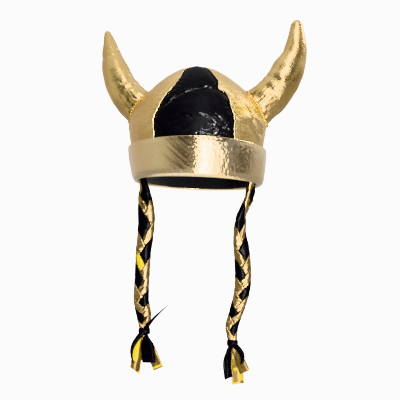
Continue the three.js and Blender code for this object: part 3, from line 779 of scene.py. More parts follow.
def cloth_relief(cloth, azimuth, places):
    """Everything finer than the broad folds: creases, puckers along the seams, their rolls and crinkles.
    Gives the push outwards, the mark where a horn root's glow is painted, and where the cloth is glossier."""
    radius, height = crown_outline[:, 0], crown_outline[:, 1]
    free = smoothstep(height, *CUFF_COVER)
    from_seam = seam_distance(azimuth, radius, height)
    along_seam = np.broadcast_to(arc_lengths(crown_outline), azimuth.shape)
    phase = 2 * np.pi * along_seam / PUCKER_SPACING + uneven(places, PUCKER_WANDER)
    pucker = PUCKER_DEPTH * np.sin(phase)
    pucker = pucker * np.exp(-from_seam / PUCKER_REACH) * smoothstep(radius, *PUCKER_FADE)
    creases, near = crease_relief(crown_face(azimuth, 0.0))
    push = creases + pucker + horn_root_relief(places) + uneven(places, CLOTH_LAYERS[cloth])
    if cloth == "gold":
        across = np.clip(from_seam / ROLL_HALF_WIDTH - 1, -1, 1)
        height_share = 1 + ROLL_UNEVEN * line_noise(wrinkles, along_seam / ROLL_BEAT)
        push += ROLL_HEIGHT * np.sqrt(1 - across**2) * height_share
        # the mark of the painted glow, strongest along its line
        mark = bell(distance_to_line(places, PAINTED_GLOW_LINE)[0], PAINTED_GLOW_REACH)
        # the glossier gold of the seams' rolls and sharpest folds is also painted paler, as sheen
        glossy = (from_seam < 2 * ROLL_HALF_WIDTH) | (near > FOLDED_MARK)
    else:
        patch = bell(np.linalg.norm(places - CRINKLED_PATCH, axis=-1), CRINKLED_REACH)
        mark = np.zeros_like(near)
        glossy = near > CREASED_MARK
        crumple = sum(part * crinkles.ridged(places / size + shift) for size, shift, part in CRUMPLES)
        crumple = crumple - CRUMPLE_LEVEL
        push += CRUMPLE_DEPTH * np.maximum(near, CRINKLED_SHARE * patch) * crumple
        push -= SEAM_GROOVE * bell(from_seam, SEAM_GROOVE_HALF_WIDTH)
    return push * free * smoothstep(radius, 0, TIP_FLAT), mark, glossy


def columns_round(count, rows):
    """Azimuths all round the hat, one column for each and the same in each of its rows."""
    return np.linspace(0, 360, count, endpoint=False)[:, None] + np.zeros(rows)


def wall_rings(outer, inner):
    """Rings for a wall, out along one face and back along the other."""
    return np.concatenate([outer, inner[:, ::-1]], axis=1)


def crown_panel(name, spec, *materials):
    """One gore of the crown: a wall whose two faces share the same folds."""
    radius, height = crown_outline[:, 0], crown_outline[:, 1]
    start, end = (seam_azimuth(seam, height) for seam in spec["seams"])
    inset = np.degrees(GAP / 2 / np.maximum(radius, TIP_RADIUS))
    share = np.linspace(0, 1, spec["columns"] + 1)[:, None]
    azimuth = start + lerp(inset, (end - start) % 360 - inset, share)
    broad = broad_relief(azimuth, radius, height)
    fine, mark, glossy = cloth_relief(spec["cloth"], azimuth, crown_face(azimuth, broad))
    relief = broad + fine
    outer, inner = crown_face(azimuth, relief), crown_face(azimuth, relief - CROWN_WALL)
    mark, glossy = wall_rings(mark, mark), wall_rings(glossy, glossy)
    shape = Shape()
    shape.loft(wall_rings(outer, inner), mark=mark, finish=glossy[:-1])
    return shape.build(name, *materials)


# Lining

LINING_WALL = 1.2
LINING_GAP = 0.6
LINING_SLACK = 5
LINING_SLACK_HEIGHT = 60
LINING_COLUMNS = 120
LINING_LAYERS = [(lumps, 22, 1.2)]


def lining_shell():
    """Black cloth that is sewn in at the rim and hangs free of the crown above it, in soft folds."""
    azimuth = columns_round(LINING_COLUMNS, CROWN_ROWS + 1)
    height = crown_outline[:, 1]
    slack = smoothstep(height, 0, LINING_SLACK_HEIGHT)
    base = -CROWN_WALL - LINING_GAP - LINING_SLACK * slack
    folds = base + uneven(crown_face(azimuth, base), LINING_LAYERS) * slack
    outer, inner = crown_face(azimuth, folds), crown_face(azimuth, folds - LINING_WALL)
    shape = Shape()
    shape.loft(wall_rings(outer, inner), closed=True)
    return shape.build("lining_cloth", black_lining)


# Cuff

CUFF_GAP = 0.6
CUFF_FOLD_THICKNESS = 8.6
CUFF_EDGE_THICKNESS = 5.4
CUFF_COLUMNS = 840
CUFF_AROUND = 96
CUFF_HEIGHTS = (54, 55, 57, 60)  # at azimuths 0, 90, 180 and 270
CUFF_SECTION = table(
    "up through",
    (0.08, 0), (0.35, 0), (0.7, 0), (0.96, 0.12), (1, 0.5), (0.96, 0.9),
    (0.7, 1.04), (0.35, 1.04), (0.13, 0.98), (0.035, 0.74), (0, 0.42), (0.02, 0.12),
)
HEM_UP = 0.105  # where the hem's stitching draws the cloth in, as a share of the height
BRIM_UP = 0.94
STITCH_HALF_WIDTH = 0.018
STITCH_DEPTH = 0.4
BRIM_STITCH = 0.6  # of the hem's depth
CUFF_JOIN = 90  # azimuth of the seam at the back
JOIN_DEPTH = 1.2
JOIN_HALF_WIDTH = 1.6
CUFF_LAYERS = [(lumps, 48, 1.1)]
OUTSIDE = (0.5, 0.95)  # shares through the band over which its outer face begins
STREAK = 2.4  # size of the slanting crinkles
STREAK_LEAST = 0.07
STREAK_MOST = 0.34
STREAK_MIDDLE = 257  # azimuth where they are deepest
STREAK_REACH = 14
STREAK_LENGTH = 34
STREAK_LEAN = 4  # how far they rise to a step round the rim
MOTTLE = 2.8  # size of the small dents right of the middle
MOTTLE_DEPTH = 0.42
MOTTLE_MIDDLE = 304
MOTTLE_REACH = 26


def cuff_height(azimuth):
    quarter = (azimuth // 90).astype(int) % 4
    heights = np.array(CUFF_HEIGHTS, float)
    return lerp(heights[quarter], heights[(quarter + 1) % 4], smoothstep(azimuth / 90 % 1, 0, 1))


def cuff_band():
    """The padded band, turned up round the rim, with slanting crinkles and a stitched hem."""
    up, through = smooth_curve(points(CUFF_SECTION, "up through"), CUFF_AROUND, closed=True).T
    azimuth = columns_round(CUFF_COLUMNS, CUFF_AROUND)
    height = cuff_height(azimuth) * up
    thickness = lerp(CUFF_FOLD_THICKNESS, CUFF_EDGE_THICKNESS, up)
    wall = column(CROWN_PROFILE, "height", "radius", np.maximum(height, CROWN_PROFILE["height"][0]))
    outside = smoothstep(through, *OUTSIDE)
    leaning = np.radians(azimuth) * wall / STREAK + height / (STREAK_LEAN * STREAK)
    leaning = np.stack([leaning, height / STREAK_LENGTH, np.zeros_like(height)], axis=-1)
    streaked = bell(azimuth_between(azimuth, STREAK_MIDDLE), STREAK_REACH)
    streaked = lerp(STREAK_LEAST, STREAK_MOST, streaked) * wrinkles(leaning)
    places = hat_point(azimuth, wall, height)
    mottled = MOTTLE_DEPTH * bell(azimuth_between(azimuth, MOTTLE_MIDDLE), MOTTLE_REACH)
    mottled = mottled * crinkles(places / MOTTLE)
    hem, brim = (bell(up - at, STITCH_HALF_WIDTH) for at in (HEM_UP, BRIM_UP))
    stitched = STITCH_DEPTH * (hem + BRIM_STITCH * brim)
    join = JOIN_DEPTH * bell(azimuth_between(azimuth, CUFF_JOIN) * wall * np.radians(1), JOIN_HALF_WIDTH)
    relief = uneven(places, CUFF_LAYERS) + streaked + mottled - stitched - join
    radius = wall + CUFF_GAP + through * thickness + outside * relief
    shape = Shape()
    shape.loft(hat_point(azimuth, radius, height), closed=True)
    return shape.build("cuff_band", gold_cuff)


# Horns

SWELL_FRAMES = 20
SWELL_CLOTH = {
    "quality": 5,
    "use_pressure": True,
    "uniform_pressure_force": 4,
    "shrink_min": -0.012,  # below zero the cloth is larger than its shape
    "bending_stiffness": 2,
}
SWELL_FIRM_RINGS = 3
SWELL_HOLD = 0.1
SWELL_CAP = 2
SWELL_SHARE = 0.55  # how much of it is used, as the filling takes up the rest
SWELL_FADE = (0.05, 0.45)  # shares of a horn's length from its tip over which it starts
HORN_SIDES = 112
HORN_RINGS = 150
HORN_SINK = 1.5  # how far the root's edge is tucked into the crown
HORN_GATHERS = 5
HORN_GATHER_DEPTH = 0.05
HORN_GATHER_FADE = 0.22
HORN_LAYERS = [(lumps, 20, 0.7), (wrinkles, 9, 0.35)]
HORN_SEAM = 100  # angle of the long seam
HORN_SEAM_DEPTH = 0.8
HORN_SEAM_HALF_WIDTH = 1.4
HORN_SMOOTH_TIP = 0.12  # share of the length over which the relief dies out
ROOT_GATHERS = table(
    "count depth reach sway size shift",
    (13, 1.5, 9, 4, 20, 0),
    (21, 0.8, 20, 5, 14, 7),
)
BEND_CREASE_DEPTH = 0.5
BEND_CREASE_SPACING = 3.1
BEND_CREASE_SWAY = 4
BEND_MIDDLE = 38  # distance from the root
BEND_REACH = 30
TANGENT_STEP = 0.01
ROOT_TRIES = np.linspace(0, 0.5, 400)  # shares of a horn's length at which its root is looked for
WELT_RADIUS = 2.3
WELT_TURNS = 46
WELT_GROOVE = 0.28
WELT_LIFT = 0.9
WELT_AROUND = 14
WELT_STEPS = 6  # to one of the horn's sides
WELT_SMOOTHING = 9

HORNS = {
    "horn_left": {
        "side": -1,
        "sections": table(
            "out up back radius",
            (76, 106, -6, 28), (96, 126, 0, 27.8), (113.5, 144.5, 6, 27), (127, 166, 13, 25),
            (137.3, 190, 21, 22.4), (144.8, 216, 30, 17), (151, 242.5, 39, 11.5), (156, 262, 46, 5.4),
            (157, 266, 47, 2),
        ),
    },
    "horn_right": {
        "side": 1,
        "sections": table(
            "out up back radius",
            (76, 103, -2, 30), (96.3, 122, 0, 29.6), (116, 139, 2, 29.2), (133.4, 161, 4, 27.6),
            (146, 184.5, 7, 25.8), (156, 208, 10, 20.4), (159.6, 231.5, 12, 16.2), (160.9, 255.5, 14, 11),
            (161.2, 263, 14.6, 9), (161.2, 268, 15, 4.5),
        ),
    },
}
for horn in HORNS.values():
    rows = horn["sections"]
    spine = np.stack([horn["side"] * rows["out"], rows["back"], rows["up"]], axis=1)
    lengths = arc_lengths(spine)
    horn["length"] = lengths[-1]
    rows["share"] = lengths / lengths[-1]
    rows["x"], rows["y"], rows["z"] = spine.T


def horn_frame(horn, share):
    """The middle of a horn at shares of its length, with its direction and the two axes across it."""
    rows = horn["sections"]

    def middle(at):
        return np.stack([column(rows, "share", axis, at) for axis in "xyz"], axis=-1)

    along = middle(np.minimum(share + TANGENT_STEP, 1)) - middle(np.maximum(share - TANGENT_STEP, 0))
    along /= np.linalg.norm(along, axis=-1, keepdims=True)
    across = np.cross((0.0, 1.0, 0.0), along)
    across /= np.linalg.norm(across, axis=-1, keepdims=True)
    return middle(share), along, across, np.cross(along, across)


def horn_radius(horn, share, angle):
    gathered = HORN_GATHER_DEPTH * np.exp(-share / HORN_GATHER_FADE) * np.cos(HORN_GATHERS * angle)
    return column(horn["sections"], "share", "radius", share) * (1 + gathered)


def horn_face(horn, share, angle, stand_off=0.0):
    middle, _, across, deep = horn_frame(horn, share)
    reach = (horn_radius(horn, share, angle) + stand_off)[..., None]
    return middle + reach * (across * np.cos(angle)[..., None] + deep * np.sin(angle)[..., None])


def outside_crown(places):
    """How far places lie outside the crown's broad shape, measured level."""
    x, y, z = np.moveaxis(places, -1, 0)
    azimuth = np.degrees(np.arctan2(y / DEPTH_RATIO, x)) % 360
    radius = crown_radius(z)
    return np.hypot(x, y / DEPTH_RATIO) - radius - broad_relief(azimuth, radius, z)


def horn_root(horn):
    """The middle of a horn's root, its axes there and its radius."""
    share = horn["sections"]["share"][1]
    middle, along, across, deep = horn_frame(horn, np.array(share))
    return middle, along, across, deep, horn["sections"]["radius"][1]


def root_shares(horn, angle, depth):
    """At each angle round a horn, the share of its length where it comes out of the crown."""
    share, turn = np.meshgrid(ROOT_TRIES, angle, indexing="ij")
    out = outside_crown(horn_face(horn, share, turn)) > -depth
    return ROOT_TRIES[np.argmax(out, axis=0)]


def horn_relief(horn, share, angle, places, from_root):
    """Gathers at the root, cross creases in the bend and the cloth's own unevenness."""
    gathers = 0
    for count, depth, reach, sway, size, shift in zip(*ROOT_GATHERS.values()):
        phase = count * angle + sway * lumps(places / size + shift)
        gathers = gathers + depth * np.cos(phase) * np.exp(-from_root / reach)
    inner_side = np.cos(angle) * horn["side"] < 0
    phase = from_root / BEND_CREASE_SPACING + BEND_CREASE_SWAY * lumps(places / 24 + 3)
    cross = BEND_CREASE_DEPTH * np.sin(phase) * inner_side * bell(from_root - BEND_MIDDLE, BEND_REACH)
    from_seam = azimuth_between(np.degrees(angle), HORN_SEAM) * np.radians(1)
    from_seam = from_seam * horn_radius(horn, share, angle)
    seam = -HORN_SEAM_DEPTH * bell(from_seam, HORN_SEAM_HALF_WIDTH)
    relief = gathers + cross + uneven(places, HORN_LAYERS) + seam
    return relief * smoothstep(1 - share, 0, HORN_SMOOTH_TIP)


def swell(rings):
    """How far a cloth simulation moves the places of a stuffed skin: the cloth is cut a little large, held
    at its first rings and softly elsewhere, and blown up from inside. What moves a whole ring is left out,
    and no place moves further than a limit."""
    shape = Shape()
    shape.loft(rings)
    skin = shape.build("swelling_skin")
    held = skin.vertex_groups.new(name="held")
    firm = SWELL_FIRM_RINGS * rings.shape[1]
    held.add(range(firm), 1.0, "REPLACE")
    held.add(range(firm, shape.count), SWELL_HOLD, "REPLACE")
    cloth = skin.modifiers.new("cloth", "CLOTH")
    cloth.collision_settings.use_collision = False
    cloth.point_cache.frame_end = SWELL_FRAMES
    for key, value in SWELL_CLOTH.items():
        setattr(cloth.settings, key, value)
    cloth.settings.effector_weights.gravity = 0
    cloth.settings.vertex_group_mass = held.name
    for moment in range(1, SWELL_FRAMES + 1):
        bpy.context.scene.frame_set(moment)
    swollen = skin.evaluated_get(bpy.context.evaluated_depsgraph_get())
    places = np.empty(3 * shape.count)
    swollen.to_mesh().vertices.foreach_get("co", places)
    swollen.to_mesh_clear()
    bpy.data.meshes.remove(skin.data)
    bpy.context.scene.frame_set(1)
    move = places.reshape(rings.shape) / MM - rings
    move -= move.mean(axis=1, keepdims=True)
    far = np.linalg.norm(move, axis=-1, keepdims=True)
    return move * np.minimum(1, SWELL_CAP / np.maximum(far, SWELL_CAP / 100))


def finer(grid):
    """A grid of rings with one more ring and one more place between each two, softened."""
    around = np.stack([grid, (grid + np.roll(grid, -1, axis=1)) / 2], axis=2).reshape(len(grid), -1, 3)
    rows = np.empty((2 * len(grid) - 1, *around.shape[1:]))
    rows[::2] = around
    rows[1::2] = (around[1:] + around[:-1]) / 2
    soft = (np.roll(rows, 1, axis=1) + 2 * rows + np.roll(rows, -1, axis=1)) / 4
    soft[1:-1] = (soft[:-2] + 2 * soft[1:-1] + soft[2:]) / 4
    return soft


def stuffed_horn(name, horn):
    """A horn from its root on the crown to its rounded tip, with the rolled seam round its root."""
    angle = full_turn(HORN_SIDES)
    root = root_shares(horn, angle, HORN_SINK)
    t = np.sin(np.linspace(0, np.pi / 2, HORN_RINGS + 1))[:, None]
    share = root + (1 - root) * t
    turn = np.broadcast_to(angle, share.shape)
    smooth = horn_face(horn, share, turn)
    relief = horn_relief(horn, share, turn, smooth, (share - root) * horn["length"])
    swollen = finer(swell(smooth[::2, ::2])) * SWELL_SHARE * smoothstep(1 - share, *SWELL_FADE)[..., None]
    shape = Shape()
    shape.loft(horn_face(horn, share, turn, relief) + swollen)
    shape.loft(root_welt(horn, angle), closed=True, finish=1)
    return shape.build(name + "_stuffed", gold_horn, gold_stitching)


def root_welt(horn, angle):
    """A rolled and oversewn seam that winds like a rope round a horn's root."""
    turn = full_turn(WELT_STEPS * HORN_SIDES)
    share = np.interp(turn, angle, root_shares(horn, angle, 0), period=2 * np.pi)
    share = np.concatenate([share[-WELT_SMOOTHING:], share, share[:WELT_SMOOTHING]])
    window = 2 * WELT_SMOOTHING + 1
    share = np.convolve(share, np.full(window, 1 / window), mode="valid")
    middle, along, across, deep = horn_frame(horn, share)
    out = across * np.cos(turn)[:, None] + deep * np.sin(turn)[:, None]
    foot = middle + out * (horn_radius(horn, share, turn) + WELT_LIFT)[:, None]
    roll = full_turn(WELT_AROUND)
    radius = WELT_RADIUS * (1 + WELT_GROOVE * np.cos(2 * roll - WELT_TURNS * turn[:, None]))
    sideways = out[:, None] * np.cos(roll)[:, None] + along[:, None] * np.sin(roll)[:, None]
    return foot[:, None] + radius[..., None] * sideways


# Plaits

STRIP_AROUND = 24
STRIP_STEP = 1  # drop between two sections
STRIP_GAP = 0.3
STRIP_SWAY = 0.46  # how far a strip's core swings to each side, as a share of the plait's half-width
STRIP_WEAVE = 0.16  # and how far it swings to the front and back
STRIP_WIDTH = 0.5  # the core's own half-width and half-depth, as shares of the same
STRIP_DEPTH = 0.27
LAYERING = 2.2  # how much more depth counts than width in what lies on top
STRIP_DIAMETER = 18 * MM  # of a round cord about as wide as the strips and their ends
PLEATS = 4.2  # folds along an end, as an angle across half its width
FACE_ROWS = 34
FACE_COLUMNS = 11
FACE_DEPTH = 0.52  # of a plait's two faces from its middle, as a share of its half-width
FACE_THICKNESS = 0.5
FACE_LIFT = 1.3  # how far a strip stands out where it comes round the edge, and in where it goes under
FACE_ROUND = 1.1  # how far a face's middle stands above its edges
FACE_OVERLAP = 0.07
FACE_LEAST = 0.02
FACE_CRUMPLE = {"black": 0.7, "gold_a": 1.9, "gold_b": 1.9}
CRUMPLE_ACROSS = 5  # spacing of a face's folds, which run along the strip
CRUMPLE_ALONG = 60  # and their length, in degrees of the strip's turn
FOLD_BULGE = 0.12  # how far a strip bulges where it comes round the edge, as a share of the half-width
LEAD = 0.0125  # how far a strip's leading edge moves across a face in a degree of its turn, in half-widths
LEAD_DROPS = (70, 165)  # the black strip narrows between these drops
LEAD_MIDDLE = {"black": (291, 316), "gold_a": (326, 317), "gold_b": (326, 317)}  # turns at which they cross
STRIP_APART = 120
TIE_NEAR = (3, 14)  # drops above a tie over which the faces settle into it
ROUTE_STEPS = 400
FACE_FEWEST_ROWS = 6
FACE_SEEDS = (7.3, 2.9, 1.7, 11.3)  # so that no two faces crumple alike
FACE_SQUARENESS = 5  # powers: higher ones keep a form flat further towards its edges
PLAIT_SQUARENESS = 3
EDGE_SQUARENESS = 6
RIDGE_LEVEL = 0.5  # taken off ridged noise, so that it goes in as well as out
CORE_CRUMPLE = 0.4
CORE_CRUMPLE_SIZE = 13
LEAST_ROOM = 0.2
PLEAT_SWAY = 2
PLEAT_SWAY_LENGTH = 17
END_START = 0.04  # share of an end's length where its own finish begins
END_HALF_THICKNESS = 0.9
END_OPENING = 0.45
END_PLEAT_DEPTH = 0.5
TIE_HALF_HEIGHT = 4.5
STRIPS = ("black", "gold_a", "gold_b")
STRIP_SHARES = {"black": 1.5, "gold_a": 1, "gold_b": 1}  # how far each holds its own against a neighbour
ROUTE = "drop out forward twist half_width turns"
STRIP_SECTION = np.array([
    (1, 0), (0.97, 0.7), (0.86, 1), (0.4, 1), (-0.4, 1), (-0.86, 1), (-0.97, 0.7),
    (-1, 0), (-0.97, -0.7), (-0.86, -1), (-0.4, -1), (0.4, -1), (0.86, -1), (0.97, -0.7),
])
SECTION_ASPECT = np.array([3, 1])
strip_oval = smooth_curve(STRIP_SECTION * SECTION_ASPECT, STRIP_AROUND, closed=True) / SECTION_ASPECT

END = "out ease bow forward length half_width turn curl slant"


def loose_end(*values, reverse=()):
    """A strip's loose end: its lean to the side, how early it leans, its bow, its lean to the front, its
    length, half-width and turn, how far its edges curl forward and how far its hem slants. The front shows
    the cloth's reverse in places, each given in shares of the length, from and to, and then from edge to
    edge, -1 to 1."""
    return {**dict(zip(END.split(), values)), "reverse": reverse}


# Each plait's route below the rim, its strips' ends, and its tie's tails. A peek is a place above the tie,
# by drop, where a strip's reverse shows.

PLAITS = {
    "left": {
        "side": -1,
        "route": table(
            ROUTE,
            (-14, 86.6, 8, 90, 7.4, 0.08), (-2, 85.9, 8, 70, 8, 0.21), (10, 84.5, 8, 34, 9.6, 0.34),
            (37, 81.9, 8, 8, 12, 0.68), (59, 81, 7, 0, 12.3, 0.875), (88, 83.2, 6, -4, 11.7, 1.15),
            (106, 85.5, 6, -6, 11.2, 1.375), (147, 87.6, 5, 0, 10.8, 1.875), (183, 88.9, 5, 8, 11.4, 2.375),
            (208, 84.8, 5, 4, 11, 2.875), (233, 83.8, 5, 0, 6.2, 3.3),
        ),
        "ends": {
            "black": loose_end(-6, 1, 0, 7, 44, 11, 5, -1.5, 1.5),
            "gold_a": loose_end(13, 0.6, 0, 1, 57, 8, -16, 4, 4, reverse=[
                (0.05, 0.76, -1, 0.2), (0.96, 1, 0.5, 1),
            ]),
            "gold_b": loose_end(-23, 1, 0, -1, 54, 9, 14, -1.5, 0, reverse=[(0.91, 0.97, -1, 1)]),
        },
        "peeks": [("gold_a", -1, 113, 136, 0.3, 0.8), ("gold_b", -1, 184, 192, 0.6, 1)],
        "tails": [
            {"out": -40, "forward": 5, "rise": 42, "half_width": 3.4, "bow": 3, "taper": 0.85},
            {"out": 15, "forward": 11, "rise": -48, "half_width": 5, "bow": 9, "taper": 0.75},
        ],
    },
    "right": {
        "side": 1,
        "route": table(
            ROUTE,
            (-14, 87.4, 8, 90, 7.4, 0.1), (-2, 86.4, 8, 76, 7.8, 0.23), (19, 83.8, 8, 46, 8.6, 0.46),
            (44, 73.4, 8, 60, 9.2, 0.735), (57, 69.4, 8, 48, 9.6, 0.875), (82, 67.6, 7, 30, 10.4, 1.16),
            (101, 69.8, 7, 12, 11.4, 1.375), (139, 72.3, 6, 4, 11.7, 1.875), (170, 70.6, 5, 0, 11.4, 2.375),
            (200, 62.4, 5, 0, 10.6, 2.875), (225, 54.6, 5, 0, 9.4, 3.375), (251, 55.2, 5, 0, 5.8, 3.8),
        ),
        "ends": {
            "black": loose_end(-3, 1, -4, 6, 49, 6.5, 6, 1.5, -3),
            "gold_a": loose_end(6, 1, 0, -4, 59, 10, 15, 3, 0, reverse=[
                (0.58, 0.66, -0.5, 0.1), (0.74, 0.93, 0.05, 0.7), (0.95, 1, -1, 0.3),
            ]),
            "gold_b": loose_end(19, 1, 0, 2, 40, 8.5, -14, -1.5, 0, reverse=[(0.95, 1, 0.7, 1)]),
        },
        "peeks": [],
        "tails": [
            {"out": 15, "forward": 9, "rise": -31, "half_width": 5, "bow": 7, "taper": 0.35},
            {"out": -8, "forward": 12, "rise": -27, "half_width": 3.4, "bow": -3, "taper": 0.4},
        ],
    },
}


def tie_drop(plait):
    return plait["route"]["drop"][-1]


def loose_drop(plait):
    """Where a plait's strips come out below its tie and go loose."""
    return tie_drop(plait) + TIE_HALF_HEIGHT + GAP


def on_route(plait, names, drop):
    """The named values of a plait's route at drops."""
    return [column(plait["route"], "drop", name, drop) for name in names.split()]


def plait_middle(plait, drop):
    out, forward = on_route(plait, "out forward", drop)
    return np.stack([plait["side"] * out, -forward], axis=-1)


def turned(flat, angle):
    """Places on the level, turned about the origin."""
    c, s = np.cos(angle), np.sin(angle)
    return np.stack([flat[..., 0] * c - flat[..., 1] * s, flat[..., 0] * s + flat[..., 1] * c], axis=-1)


def strip_sections(plait, name, drop):
    """A strip's middle at each drop, with its half-width, half-depth, turn, tilt and curl there. Above the
    tie the strips' cores follow a figure of eight, a third of a turn apart. Below it they part."""
    woven = np.minimum(drop, tie_drop(plait))
    size, turns, twist = on_route(plait, "half_width turns twist", woven)
    twist = np.radians(twist) * plait["side"]
    angle = 2 * np.pi * (turns + STRIPS.index(name) / len(STRIPS))
    sway = np.stack([np.sin(angle) * STRIP_SWAY, np.sin(2 * angle) * STRIP_WEAVE], axis=-1)
    centre = turned(sway * size[:, None], twist) + plait_middle(plait, woven)
    end = plait["ends"][name]
    share = np.maximum(drop - loose_drop(plait), 0) / end["length"]
    opened = smoothstep(share, 0, END_OPENING)
    aside = end["out"] * share ** end["ease"] + end["bow"] * np.sin(np.pi * share)
    return {
        "centre": centre + np.stack([plait["side"] * aside, -end["forward"] * share], axis=-1),
        "half_width": lerp(size * STRIP_WIDTH, end["half_width"], opened),
        "half_depth": lerp(size * STRIP_DEPTH, END_HALF_THICKNESS, opened),
        "twist": twist,
        "turn": lerp(twist, math.radians(end["turn"]) * plait["side"], opened),
        "tilt": opened * math.atan2(plait["side"] * end["out"], end["length"]),
        "curl": end["curl"] * opened,
        "pleat": END_PLEAT_DEPTH * opened,
        "share": share,
    }


def strip_drops(plait, name):
    end = loose_drop(plait) + plait["ends"][name]["length"]
    start = plait["route"]["drop"][0]
    return np.linspace(start, end, int((end - start) / STRIP_STEP) + 1)


def strip_rings(plait, name, drop):
    """A strip's core and its loose end, as rings drawn in to half a gap from each neighbour."""
    own = strip_sections(plait, name, drop)
    wide, deep = strip_oval.T
    bend = own["curl"][:, None] * (1 / 3 - wide**2)
    row = STRIPS.index(name) + plait["side"]
    phase = PLEAT_SWAY * line_noise(wander, drop / PLEAT_SWAY_LENGTH, row)[:, None]
    pleat = own["pleat"][:, None] * np.cos(PLEATS * wide + phase)
    aside = own["half_width"][:, None] * wide
    reach = np.stack([aside, own["half_depth"][:, None] * deep + bend + pleat], axis=-1)
    reach = turned(reach, own["turn"][:, None])
    share = np.ones(reach.shape[:-1])
    for other in STRIPS:
        if other == name:
            continue
        between = strip_sections(plait, other, drop)["centre"] - own["centre"]
        across = turned(turned(between, -own["twist"]) * (1, LAYERING**2), own["twist"])
        across /= np.linalg.norm(across, axis=-1, keepdims=True)
        part = STRIP_SHARES[name] / (STRIP_SHARES[name] + STRIP_SHARES[other])
        room = (between * across).sum(axis=-1, keepdims=True) * part - STRIP_GAP / 2
        room = np.maximum(room, LEAST_ROOM)
        towards = np.einsum("ijk,ik->ij", reach, across)
        share = np.where(towards > room, np.minimum(share, room / np.maximum(towards, TINY)), share)
    reach = reach * share[..., None]
    leaning = np.stack([np.cos(own["tilt"]), np.ones_like(drop)], axis=-1)
    level = own["centre"][:, None] + reach * leaning[:, None]
    slant = plait["ends"][name]["slant"] * own["share"] ** 3
    height = reach[..., 0] * np.sin(own["tilt"])[:, None] - slant[:, None] * wide - drop[:, None]
    return np.concatenate([level, height[..., None]], axis=-1), own


def leading_edge(name, turn, drop):
    """How far across a face a strip's leading edge is, from -1 where it comes round the plait's edge."""
    return LEAD * (turn - np.interp(drop, LEAD_DROPS, LEAD_MIDDLE[name]))


def face_span(name, after, opposite):
    """The turns at which a strip's face starts, leaves the plait's edge and ends, at the widest, by the
    strip that comes round the same edge after it and the one that comes from the other edge."""
    start = min(LEAD_MIDDLE[name]) - 1 / LEAD
    leaves = max(LEAD_MIDDLE[after]) + STRIP_APART - 1 / LEAD
    end = (max(LEAD_MIDDLE[after]) + max(LEAD_MIDDLE[opposite]) + 1.5 * STRIP_APART) / 2
    return start, leaves, end


def strip_face(plait, name, front, side, lap):
    """One of a strip's visible faces: it comes round one edge of the plait, runs slanting across the face
    on top of the others, and goes under the strip that comes from the other edge. Gives its rings with
    their drops, or nothing where the plait has no such face."""
    index = STRIPS.index(name)
    after, opposite = (STRIPS[(index + step) % len(STRIPS)] for step in (-front, front))
    start, leaves, end = face_span(name, after, opposite)
    turn = np.linspace(start, end, FACE_ROWS + 1)
    phase = (turn if front > 0 else 180 - turn) + (180 if side > 0 else 0)
    turns = phase / 360 + lap - index / len(STRIPS)
    drops = np.linspace(plait["route"]["drop"][0], tie_drop(plait), ROUTE_STEPS)
    (route_turns,) = on_route(plait, "turns", drops)
    inside = (turns > route_turns[0]) & (turns < route_turns[-1])
    if inside.sum() < FACE_FEWEST_ROWS:
        return None
    drop = np.interp(turns[inside], route_turns, drops)
    turn, level = turn[inside, None], drop[:, None]
    lead = leading_edge(name, turn, level)
    left = np.maximum(leading_edge(after, turn - STRIP_APART, level) - FACE_OVERLAP, -1)
    right = np.minimum(lead, FACE_OVERLAP - leading_edge(opposite, turn - STRIP_APART / 2, level))
    right = np.maximum(right, left + FACE_LEAST)
    spread = (1 - np.cos(np.linspace(0, np.pi, FACE_COLUMNS))) / 2
    across = lerp(left, right, spread)
    size, twist = on_route(plait, "half_width twist", level)
    twist = np.radians(twist) * plait["side"]
    middle = np.concatenate([plait_middle(plait, drop), -level], axis=1)[:, None]
    bulge = FOLD_BULGE * np.sin(np.pi * np.clip((turn - start) / (leaves - start), 0, 1)) * across**2
    free = (1 - across**EDGE_SQUARENESS) * smoothstep(tie_drop(plait) - level, *TIE_NEAR)
    seed = sum(step * count for step, count in zip(FACE_SEEDS, (lap, front, side, index)))
    folds = ((across - lead) * size / CRUMPLE_ACROSS, turn / CRUMPLE_ALONG, seed)
    folds = np.stack(np.broadcast_arrays(*folds), axis=-1)
    rounded = FACE_ROUND * (1 - np.abs(2 * spread - 1) ** FACE_SQUARENESS)
    rise = FACE_LIFT * np.interp(turn, (start, end), (1, -1)) + rounded
    rise = rise + FACE_CRUMPLE[name] * (crinkles.ridged(folds) - RIDGE_LEVEL)
    depth = FACE_DEPTH * size * np.sqrt(1 - np.abs(across) ** PLAIT_SQUARENESS)

    def skin(stand_off):
        flat = np.stack([-side * across * size * (1 + bulge), -front * (depth + stand_off * free)], axis=-1)
        return middle + np.concatenate([turned(flat, twist), np.zeros((*across.shape, 1))], axis=-1)

    return wall_rings(skin(rise), skin(rise - FACE_THICKNESS)), drop


def strip_faces(plait, name):
    """All of a strip's visible faces, with the finish of their quads."""
    laps = range(-1, int(plait["route"]["turns"][-1]) + 2)
    for front, side, lap in product((1, -1), (-1, 1), laps):
        face = strip_face(plait, name, front, side, lap)
        if face is None:
            continue
        rings, drop = face
        finish = np.zeros((len(drop) - 1, rings.shape[1]), int)
        spread = (np.arange(rings.shape[1]) + 0.5) / (FACE_COLUMNS - 1)
        for strip, edge, start, end, inner, outer in plait["peeks"]:
            if strip == name and front > 0 and side == edge:
                row = (drop[1:, None] >= start) & (drop[1:, None] <= end)
                finish[row & (spread >= inner) & (spread <= outer)] = 1
        yield rings, finish


def crumpled(rings, middle):
    """Rings with small creases in the cloth, in and out from each ring's middle."""
    out = rings - middle[:, None]
    reach = np.linalg.norm(out, axis=-1, keepdims=True)
    creases = crinkles.ridged(rings / CORE_CRUMPLE_SIZE) - RIDGE_LEVEL
    return rings + out / np.maximum(reach, TINY) * (CORE_CRUMPLE * creases)[..., None]


